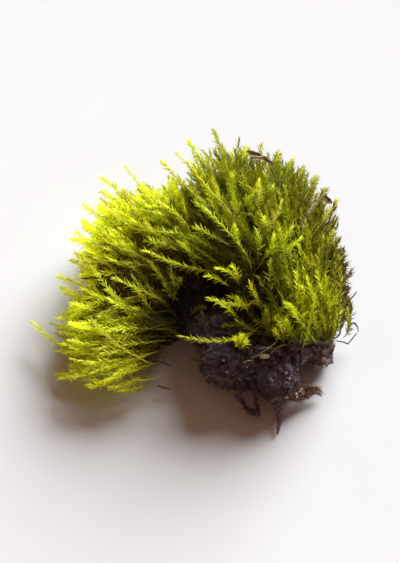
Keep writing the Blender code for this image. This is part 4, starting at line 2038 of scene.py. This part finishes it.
DIM_SHOOTS = (
    ((247, 292, 2.4), (242, 284, 2.6), (240, 274, 2.6)),
    ((252, 306, 2.4), (244, 296, 2.6), (236, 291, 2.6)),
    ((262, 300, 2.5), (262, 288, 2.8), (268, 276, 2.8)),
    ((270, 304, 2.6), (272, 292, 2.9), (280, 282, 2.9)),
    ((256, 328, 2.5), (252, 318, 2.7), (252, 308, 2.7)),
    ((190, 316, 1.4), (197, 309, 1.8), (207, 307, 2.0)),
)
LONG_SHOOTS = (
    ((252, 277, -1.2), (251, 265, 0.0), (243, 249, 0.3), (229, 233, 0.4), (214, 217, 0.4), (203, 207, 0.3)),
    ((238, 222, -0.4), (226, 206, 0.3), (209, 190, 0.4), (191, 167, 0.5), (175, 151, 0.2)),
    ((222, 178, -0.3), (206, 166, 0.3), (196, 152, 0.3), (187, 140, 0.0)),
    ((215, 215, -0.4), (200, 200, 0.3), (182, 183, 0.4), (170, 170, 0.2), (162, 162, 0.0)),
    ((232, 247, -0.3), (220, 240, 0.3), (205, 232, 0.5), (190, 226, 0.3)),
    ((258, 252, -0.4), (264, 238, 0.2), (268, 228, 0.3), (277, 213, 0.4), (283, 197, 0.2)),
    ((266, 236, -0.2), (267, 226, 0.3), (261, 212, 0.3)),
    ((256, 264, -0.5), (259, 250, 0.3), (259, 240, 0.4), (255, 225, 0.4)),
    ((254, 273, -0.6), (265, 257, 0.3), (272, 246, 0.4), (274, 232, 0.4)),
    ((272, 272, -0.5), (281, 258, 0.2), (292, 246, 0.3), (303, 237, 0.2)),
    ((268, 262, -0.5), (277, 250, 0.2), (286, 236, 0.3), (295, 223, 0.2)),
    ((232, 210, -0.4), (229, 198, 0.2), (232, 182, 0.3), (231, 173, 0.2)),
    ((236, 218, -0.4), (244, 205, 0.2), (256, 190, 0.3), (260, 178, 0.2)),
    ((252, 216, -0.4), (258, 205, 0.3), (259, 192, 0.4), (258, 184, 0.3)),
    ((240, 251, -0.4), (237, 238, 0.2), (234, 222, 0.3)),
    ((262, 206, -0.3), (270, 193, 0.3), (273, 185, 0.2)),
    ((252, 178, -1.2), (258, 162, -0.6), (262, 142, -0.3)),
    ((268, 178, -0.5), (275, 164, 0.1), (280, 150, 0.0)),
    ((280, 186, -0.5), (287, 170, 0.1), (293, 158, 0.0)),
    ((290, 192, -0.5), (298, 178, 0.1), (305, 165, 0.0)),
    ((302, 202, -0.5), (311, 188, 0.1), (318, 174, 0.0)),
    ((310, 214, -0.5), (320, 200, 0.1), (327, 187, 0.0)),
    ((312, 236, -0.5), (323, 221, 0.1), (332, 206, 0.0)),
    ((318, 256, -0.5), (327, 243, 0.1), (334, 228, 0.0)),
    ((320, 226, -0.5), (330, 213, 0.1), (337, 200, 0.0)),
    ((240, 170, -0.5), (243, 158, 0.2), (248, 145, 0.0)),
)
FAN_SHOOTS = (
    ((327, 342, 2.2), (325, 326, 2.6), (320, 311, 2.8), (316, 296, 2.8)),
    ((328, 342, 2.1), (330, 322, 2.4), (328, 304, 2.4), (331, 288, 2.1)),
    ((326, 342, 2.2), (318, 326, 2.8), (308, 312, 3.1), (302, 300, 3.1)),
    ((325, 325, 2.4), (329, 309, 2.5), (338, 293, 2.1)),
    ((329, 343, 2.0), (335, 326, 2.0), (341, 305, 1.6)),
    ((312, 340, 2.5), (306, 322, 3.1), (300, 305, 3.3), (297, 290, 3.2)),
    ((300, 338, 2.6), (300, 322, 3.2), (308, 304, 3.3), (314, 288, 3.1)),
    ((320, 342, 2.3), (317, 330, 2.7), (312, 316, 2.9), (313, 302, 2.9)),
    ((322, 312, 2.2), (326, 297, 2.3), (326, 283, 2.1), (324, 272, 1.9)),
    ((333, 312, 1.4), (336, 298, 1.4), (333, 282, 1.2)),
)
SEAM_SHOOTS = (
    ((205, 245, -0.3), (190, 239, 0.4), (172, 233, 0.6), (147, 231, 0.4)),
    ((205, 260, -0.3), (195, 256, 0.3), (186, 247, 0.5), (178, 241, 0.5)),
    ((180, 252, -0.3), (166, 245, 0.4), (141, 240, 0.4)),
    ((170, 214, -0.3), (156, 204, 0.3), (140, 196, 0.2)),
)
LEFT_LONG_SHOOTS = (
    ((168, 216, -0.4), (150, 196, 0.2), (140, 183, 0.1)),
    ((135, 212, -0.4), (116, 189, 0.2), (99, 176, 0.0)),
    ((138, 218, -0.4), (116, 200, 0.2), (99, 190, 0.0)),
    ((116, 230, -0.4), (98, 215, 0.2), (81, 203, 0.0)),
    ((124, 226, -0.4), (108, 213, 0.2), (97, 203, 0.0)),
    ((108, 238, -0.4), (92, 231, 0.2), (80, 219, 0.0)),
    ((106, 246, -0.4), (86, 242, 0.2), (68, 238, 0.0)),
    ((104, 262, -0.4), (84, 262, 0.2), (67, 260, 0.0)),
    ((96, 292, -0.4), (74, 282, 0.2), (56, 276, 0.0)),
    ((98, 300, -0.4), (76, 294, 0.2), (57, 286, 0.0)),
    ((100, 312, -0.4), (82, 307, 0.2), (67, 302, 0.0)),
    ((102, 330, -0.4), (84, 328, 0.0), (66, 322, -0.1)),
    ((104, 345, -0.3), (84, 344, 0.2), (66, 340, 0.0)),
    ((112, 372, -0.3), (84, 376, 0.2), (56, 379, 0.0)),
    ((148, 366, -0.3), (124, 374, 0.1), (98, 383, 0.1)),
    ((152, 374, -0.3), (130, 383, 0.1), (106, 389, 0.1)),
    ((150, 383, -0.3), (134, 389, 0.1), (116, 391, 0.0)),
    ((142, 356, -0.3), (112, 361, 0.2), (82, 364, 0.1)),
    ((148, 360, -0.4), (128, 368, 0.1), (112, 377, 0.1)),
    ((126, 378, -0.4), (104, 384, 0.1), (84, 386, 0.0)),
    ((140, 350, -0.3), (120, 352, 0.2), (98, 354, 0.1)),
)
STRAWS = (
    ((251, 358, 3.5), (261, 353, 3.7), (269, 347, 3.8), (277, 342, 3.7)),
    ((256, 347, 3.3), (265, 348, 3.6), (273, 345, 3.6)),
    ((244, 362, 3.2), (249, 360, 3.4), (254, 361, 3.4)),
    ((270, 354, 3.4), (277, 349, 3.6), (286, 345, 3.5)),
    ((293, 267, 4.4), (295, 270, 4.5), (297, 274, 4.4)),
)
GRAINS = (
    (247, 367, 2.83), (224, 360, 2.9), (286, 373, 3.0), (288, 378, 2.73), (291, 388, 2.3), (296, 394, 1.78),
    (287, 396, 1.58), (302, 389, 1.4), (299, 391, 1.4), (289, 398, 1.35), (297, 396, 1.6),
)
BROWN_SHOOTS = (
    ((203, 335, 2.0), (205, 326, 2.2), (204, 318, 2.3), (201, 311, 2.3)),
    ((212, 336, 2.2), (209, 330, 2.3), (207, 322, 2.4)),
    ((206, 328, 2.2), (211, 322, 2.4), (214, 315, 2.4)),
)
CURLED_ROUTES = (
    ((292, 384, 2.3), (294, 391, 1.8), (298, 398, 1.1), (305, 398, 0.7), (311, 394, 0.5), (316, 391, 0.45),
     (319, 394, 0.35)),
    ((297, 382, 1.9), (300, 386, 1.3), (305, 386, 0.95), (311, 387, 0.7), (316, 388, 0.55), (320, 391, 0.45)),
    ((293, 386, 2.2), (297, 390, 1.3), (302, 391, 0.85), (308, 390, 0.65), (314, 390, 0.5), (318, 391, 0.4)),
    ((293, 390, 2.0), (297, 395, 1.3), (303, 395, 0.8), (309, 393, 0.6), (314, 391, 0.5), (317, 393, 0.4)),
    ((289, 388, 2.35), (291, 393, 1.9), (295, 398, 1.2), (300, 399, 0.8), (305, 397, 0.6)),
    ((296, 374, 2.35), (297, 380, 2.1), (298, 386, 1.6), (300, 391, 1.1), (303, 395, 0.75)),
)

SHORT_FOLIAGE = FineFoliage(leaves=32, length=0.40, width=0.095, spread_low=38.0, spread_high=18.0,
                            spread_error=12.0, first=0.1, withered_below=0.15, stem_stations=8)
BROWN_FOLIAGE = FineFoliage(leaves=16, length=0.3, width=0.11, spread_low=50.0, spread_high=40.0,
                            spread_error=20.0, recurve=-0.5, curl=1.5, first=0.05, stem_stations=8)
CURLED_FOLIAGE = Foliage(
    leaves=130, length=0.24, width=0.09, spread_low=72.0, spread_high=55.0, spread_error=24.0, recurve=-1.3,
    recurve_error=0.5, curl=1.2, first=0.02, withered_below=0.12, stem_radius=0.16, stem_stations=20,
    leaf_places=(0.12, 0.36, 0.6, 0.82), leaf_widths=(0.8, 1.0, 0.9, 0.6),
)
FRINGE_FOLIAGE = Foliage(leaves=34, length=0.4, width=0.11, spread_low=45.0, spread_high=30.0,
                         spread_error=18.0, recurve=-0.3, recurve_error=0.6, curl=1.5, first=0.05)
# In every Tint below, the second number is painted light or shade: above 1 the shoots are painted brighter,
# below 1 darker
CHOSEN_SHOOTS = (
    ChosenShoots("front_shoots", FRONT_SHOOTS, SHORT_FOLIAGE, Tint(0.25, 1.35)),
    ChosenShoots("fork_shoots", FORK_SHOOTS, SHORT_FOLIAGE, Tint(0.15, 0.72, 0.1)),
    ChosenShoots("dim_shoots", DIM_SHOOTS, SHORT_FOLIAGE, Tint(0.0, 0.45, 0.1)),
    ChosenShoots("fan_shoots", FAN_SHOOTS, FineFoliage(leaves=52), Tint(0.25, 1.1)),
)

# Routes on the clump itself, in millimetres from foot to tip.
SINGLE_SHOOTS = tuple(
    ChosenShoots(f"{node}_leafy", (route,), foliage, tint, nodes=(node,), path_points=25, in_picture=False)
    for node, route, foliage, tint in (
        ("left_stray_shoot",
         ((-6.2, -4.2, 1.7), (-7.5, -4.0, 1.8), (-8.75, -3.07, 1.9), (-HALF_WIDTH, -1.85, 1.6)),
         FineFoliage(leaves=52, length=0.5, spread_low=30.0), Tint()),
        ("low_left_shoot", ((-5.3, -4.6, 1.4), (-6.6, -5.4, 1.3), (-8.3, -5.1, 0.7)), FineFoliage(), Tint()),
        ("top_shoot", ((2.2, 4.0, 6.6), (1.9, 5.4, 7.1), (1.5, 7.1, 6.7), (1.16, HALF_DEPTH, 5.9)),
         FineFoliage(), Tint(0.1, 0.85)),
        ("back_thin_shoot", ((-2.3, 2.9, 5.3), (-2.9, 4.3, 5.8), (-4.33, 7.23, 4.6)),
         FineFoliage(leaves=60, length=0.42, width=0.09, spread_low=26.0, spread_high=13.0), Tint(0.1, 1.15)),
        ("front_long_shoot",
         ((4.3, -3.5, 4.7), (3.4, -4.55, 5.1), (2.6, -5.0, 5.2), (0.83, -5.15, 5.1), (-1.04, -4.68, 4.9)),
         FineFoliage(leaves=84, length=0.38, stem_stations=18, first=0.25), Tint(0.35, 1.08)),
        ("front_fan_shoot", ((3.8, -2.5, 5.5), (3.0, -3.5, 6.3), (1.75, -3.5, 6.6), (0.66, -3.0, 6.3)),
         FineFoliage(leaves=58, length=0.4, width=0.09, spread_low=40.0), Tint(0.35, 1.1)),
        ("left_front_shoot", ((-1.5, -2.3, 4.2), (-2.3, -2.1, 4.8), (-3.4, -1.9, 5.5), (-4.8, -1.4, 6.0)),
         FineFoliage(leaves=44, length=0.5, width=0.085, first=0.05, withered_below=0.12), Tint(0.1, 1.12)),
        ("middle_shoot", ((1.9, -0.3, 4.6), (0.6, -0.75, 5.4), (-1.2, -0.5, 5.9), (-3.04, 0.2, 6.3)),
         FineFoliage(), Tint(0.25, 1.2)),
    )
)

CLOD_ROOTS = (
    Root(((4.75, -6.2, 1.5), (4.85, -6.95, 1.15), (4.9, -7.6, 0.8)), 0.66, 0.26, 0.3),
    Root(((4.85, -6.7, 1.25), (4.88, -7.5, 0.8), (5.02, -8.15, 0.5), (4.9, -HALF_DEPTH, 0.2)),
         0.21, 0.3, 0.3),
    Root(((5.55, -4.4, 3.5), (5.85, -5.4, 2.6), (6.0, -5.9, 1.6), (6.25, -6.2, 0.9)), 0.15, 0.7, 0.6),
    Root(((3.0, -5.4, 1.9), (2.65, -6.6, 1.35), (2.95, -7.25, 0.95), (3.3, -7.55, 0.8)), 0.19, 0.6, 0.7),
    Root(((3.1, -7.45, 0.85), (3.5, -7.6, 0.8), (3.85, -7.6, 0.6)), 0.24, 0.6, 0.8),
    Root(((3.3, -5.4, 1.9), (3.6, -6.8, 1.2), (3.85, -7.5, 0.7)), 0.13, 0.6, 0.7),
    Root(((2.7, -4.4, 2.6), (1.65, -4.96, 2.6), (0.6, -4.6, 2.4)), 0.22, 0.4, 0.6),
)
SIDE_ROOTS = (
    ((2.6, -4.7, 3.0), (1.7, -5.1, 2.8), (0.6, -5.2, 2.5), (-0.1, -5.0, 2.4), (-0.8, -4.6, 2.5)),
    ((-2.7, -4.9, 2.8), (-2.1, -5.1, 2.5), (-1.2, -5.4, 2.3)),
    ((-2.1, -5.9, 0.8), (-1.7, -6.0, 0.7), (-1.3, -6.1, 0.7)),
    ((0.3, -5.2, 2.5), (0.4, -5.4, 1.9), (0.7, -5.7, 1.5)),
)
ROOTLETS = (
    ((8.0, -3.7, 2.3), (8.5, -3.2, 2.3), (8.8, -2.6, 2.5), (9.0, -1.7, 2.6), (9.3, -1.1, 2.6),
     (9.7, -0.4, 2.4)),
    ((8.9, -2.2, 2.3), (9.2, -2.3, 2.0), (9.6, -2.3, 1.7), (9.8, -2.6, 1.2)),
    ((8.2, -3.5, 2.0), (8.6, -3.4, 1.6), (9.1, -3.3, 1.1), (9.3, -3.1, 0.9), (9.7, -2.7, 0.9),
     (HALF_WIDTH, -2.5, 0.9)),
    ((8.5, -3.2, 2.2), (8.7, -2.7, 2.3), (8.6, -2.1, 2.8), (8.4, -1.5, 3.2)),
)
LEAF_ROUTES = (
    ((2.7, 6.0, 7.0), (3.1, 6.1, 7.15), (3.7, 6.0, 7.2), (4.3, 5.7, 7.2)),
    ((3.3, 5.8, 7.2), (3.9, 5.7, 7.3), (4.4, 5.5, 7.3), (4.8, 5.3, 7.15)),
)
SLIVER_ROUTE = ((7.25, 3.5, 6.6), (7.65, 3.45, 6.6), (8.05, 3.2, 6.4))
STEM_ROUTE = ((6.1, 1.0, 7.3), (6.6, 1.9, 7.5), (7.0, 2.7, 7.2))
FRINGE_LINE = ((7.9, -2.5, 3.0), (8.35, 0.3, 3.8))
HUSK_MIDDLE = (4.05, -5.75, 4.35)
HUSK_RADII = (0.29, 0.13, 0.10)


def grow_moss(rng: Random) -> None:
    """Builds the two lobes' crowds, the shoots over the seam, the chosen short ones and the single ones.

    Args:
        rng: The random numbers.
    """
    deep = LeafFinish("deep_moss").material()
    bright = LeafFinish(
        "bright_moss", dead=(0.21, 0.19, 0.065), old=(0.55, 0.57, 0.06), grown=(0.65, 0.715, 0.075),
        young=(0.72, 0.79, 0.16), golden=(0.78, 0.77, 0.12), tip=(0.82, 0.86, 0.34), light_through=0.62,
    ).material()
    ShootCrowd("right_lobe", ("moss_lobe_right",), Slot.MOSS_DEEP, RIGHT_BODY, RIGHT_TUFTS,
               (HOLLOW, HIGH_HOLLOW, SPARSE_FRONT), 780, 3, LONG_SHOOTS, (FRONT_SHADE,)).build(deep, rng)
    ShootCrowd("left_lobe", ("moss_lobe_left",), Slot.MOSS_BRIGHT, LEFT_BODY, LEFT_TUFTS,
               (HOLLOW, NOTCH, LEFT_HOLLOW, LOWER_GAP), 1050, 3, LEFT_LONG_SHOOTS, (LEFT_SHADE,),
               feature_glow=0.1, sway=0.6, sunk=0.85, uneven=0.5).build(bright, rng)
    ShootCrowd("seam", (), Slot.MOSS_DEEP, SEAM_BODY, SEAM_TUFTS, (HOLLOW, NOTCH), 230, 1, SEAM_SHOOTS,
               feature_glow=0.6, feature_lift=0.6).build(deep, rng)
    for shoots in CHOSEN_SHOOTS + SINGLE_SHOOTS:
        shoots.build(bright, rng)


def lay_soil(rng: Random) -> None:
    """Builds the clod, its crumb, the mat and the lobes' old growth, with the roots and threads.

    Args:
        rng: The random numbers.
    """
    soil = EarthFinish("dark_soil").material()
    # The crumb's soil is a paler copy of the clod's: partly its own paler colour, partly painted light
    pale_soil = EarthFinish("pale_soil", dark=(0.23, 0.19, 0.195), mid=(0.34, 0.285, 0.285),
                            light=(0.50, 0.43, 0.41)).material()
    felt = EarthFinish("rhizoid_felt", dark=(0.050, 0.040, 0.034), mid=(0.090, 0.072, 0.056),
                       light=(0.15, 0.12, 0.085), speck_share=0.0).material()
    growth = EarthFinish("old_growth", dark=(0.10, 0.115, 0.030), mid=(0.175, 0.20, 0.040),
                         light=(0.26, 0.28, 0.040), speck_share=0.1).material()
    green = EarthFinish("old_green_growth", dark=(0.13, 0.13, 0.016), mid=(0.25, 0.26, 0.026),
                        light=(0.38, 0.40, 0.036), speck_share=0.1).material()
    brown = DryFinish("rhizoid_threads", (0.030, 0.021, 0.022), (0.14, 0.095, 0.080)).material()
    rust = DryFinish("old_stems", (0.035, 0.024, 0.008), (0.14, 0.10, 0.025)).material()
    EarthBody("soil_clod", "soil_clod", Slot.SOIL, CLOD_BODY, roots=CLOD_ROOTS).build(soil, brown, rng)
    EarthBody("soil_crumb_right", "soil_crumb_right", Slot.SOIL, CRUMB_BODY, Relief(sunk=0.25), 64, 96, 320,
              thread_count=90).build(pale_soil, brown, rng)
    EarthBody("rhizoid_mat", "rhizoid_mat", Slot.RHIZOIDS, MAT_BODY, rows=60, columns=90, crumbs=160,
              thread_count=130).build(felt, brown, rng)
    stems = {"thread_step": 0.2, "thread_radius": 0.035, "loose": 1.2, "hug": 0.5}
    soft = Relief(lump=0.4, crumb=0.4, pit=0.4)
    EarthBody("seam_old_growth", "moss_lobe_left", Slot.RHIZOIDS, SEAM_CORE, soft, 60, 90, 100,
              thread_count=160, **stems).build(green, rust, rng)
    sunk = replace(soft, sunk=2.3, ridge=0.35)
    for side, body, finish in (("right", RIGHT_BODY, growth), ("left", LEFT_BODY, green)):
        EarthBody(f"{side}_old_growth", f"moss_lobe_{side}", Slot.RHIZOIDS, body, sunk, 80, 120, 120,
                  thread_count=200, **stems).build(finish, rust, rng)
    side_roots = Surface.joined([strands(SIDE_ROOTS[:1], 0.09, rng), strands(SIDE_ROOTS[1:], 0.06, rng)])
    present(side_roots.piece("side_roots", brown), Slot.RHIZOIDS)
    rootlets = Surface.joined([strands((route,), 0.055, rng, 0.12) for route in ROOTLETS])
    present(rootlets.piece("right_rootlet_strands", brown), Slot.RHIZOIDS, "right_rootlet")


def scatter_litter(rng: Random) -> None:
    """Builds the dead leaf, sliver, stem and shoots, and the husk with its straws and grains.

    Args:
        rng: The random numbers.
    """
    leaf = DryFinish("dead_leaf_brown", (0.13, 0.085, 0.045), (0.55, 0.46, 0.30), grain=0.22).material()
    Flake("dead_leaf", LEAF_ROUTES, 0.23, 1.6).build(leaf, rng)
    sliver = DryFinish("sliver_brown", (0.10, 0.05, 0.018), (0.30, 0.17, 0.06)).material()
    Flake("litter_sliver", (SLIVER_ROUTE,), 0.20, 0.7).build(sliver, rng)
    grey = DryFinish("grey_stem", (0.16, 0.13, 0.06), (0.36, 0.29, 0.15)).material()
    DeadStem("dead_stem", STEM_ROUTE, 0.10).build(grey, rng)
    rust = LeafFinish(
        "curled_dead_leaves", dead=(0.06, 0.040, 0.034), old=(0.085, 0.055, 0.042),
        grown=(0.12, 0.076, 0.052), young=(0.18, 0.12, 0.080), golden=(0.31, 0.20, 0.12),
        stem=(0.055, 0.036, 0.030), tip=(0.70, 0.55, 0.40), light_through=0.15,
    ).material()
    # The second numbers of these Tints paint the dead shoots brighter: painted light
    ChosenShoots("curled_dead_shoot_leafy", CURLED_ROUTES, CURLED_FOLIAGE, Tint(0.5, 1.5), Slot.LITTER,
                 ("curled_dead_shoot",), 40).build(rust, rng)
    DeadFringe("right_dead_shoots", FRINGE_LINE, FRINGE_FOLIAGE, Tint(0.5, 1.45)).build(rust, rng)
    ChosenShoots("brown_shoots", BROWN_SHOOTS, BROWN_FOLIAGE, Tint(0.0, 1.3), Slot.LITTER).build(rust, rng)
    husk = DryFinish("husk_cream", (0.46, 0.40, 0.24), (0.88, 0.82, 0.62), 0.6, 0.1).material()
    straw = DryFinish("straw", (0.32, 0.29, 0.10), (0.62, 0.58, 0.30), 0.6).material()
    grit = DryFinish("pale_grit", (0.42, 0.33, 0.30), (0.74, 0.66, 0.62), 0.6).material()
    SeedHusk("seed_husk", HUSK_MIDDLE, HUSK_RADII, STRAWS, GRAINS).build(husk, straw, grit, rng)


def main() -> None:
    """Builds every piece in order."""
    logging.basicConfig(level=logging.INFO, format="%(name)s %(message)s")
    rng = np.random.default_rng(SEED)
    Studio().build()
    grow_moss(rng)
    lay_soil(rng)
    scatter_litter(rng)


if __name__ == "__main__":
    main()
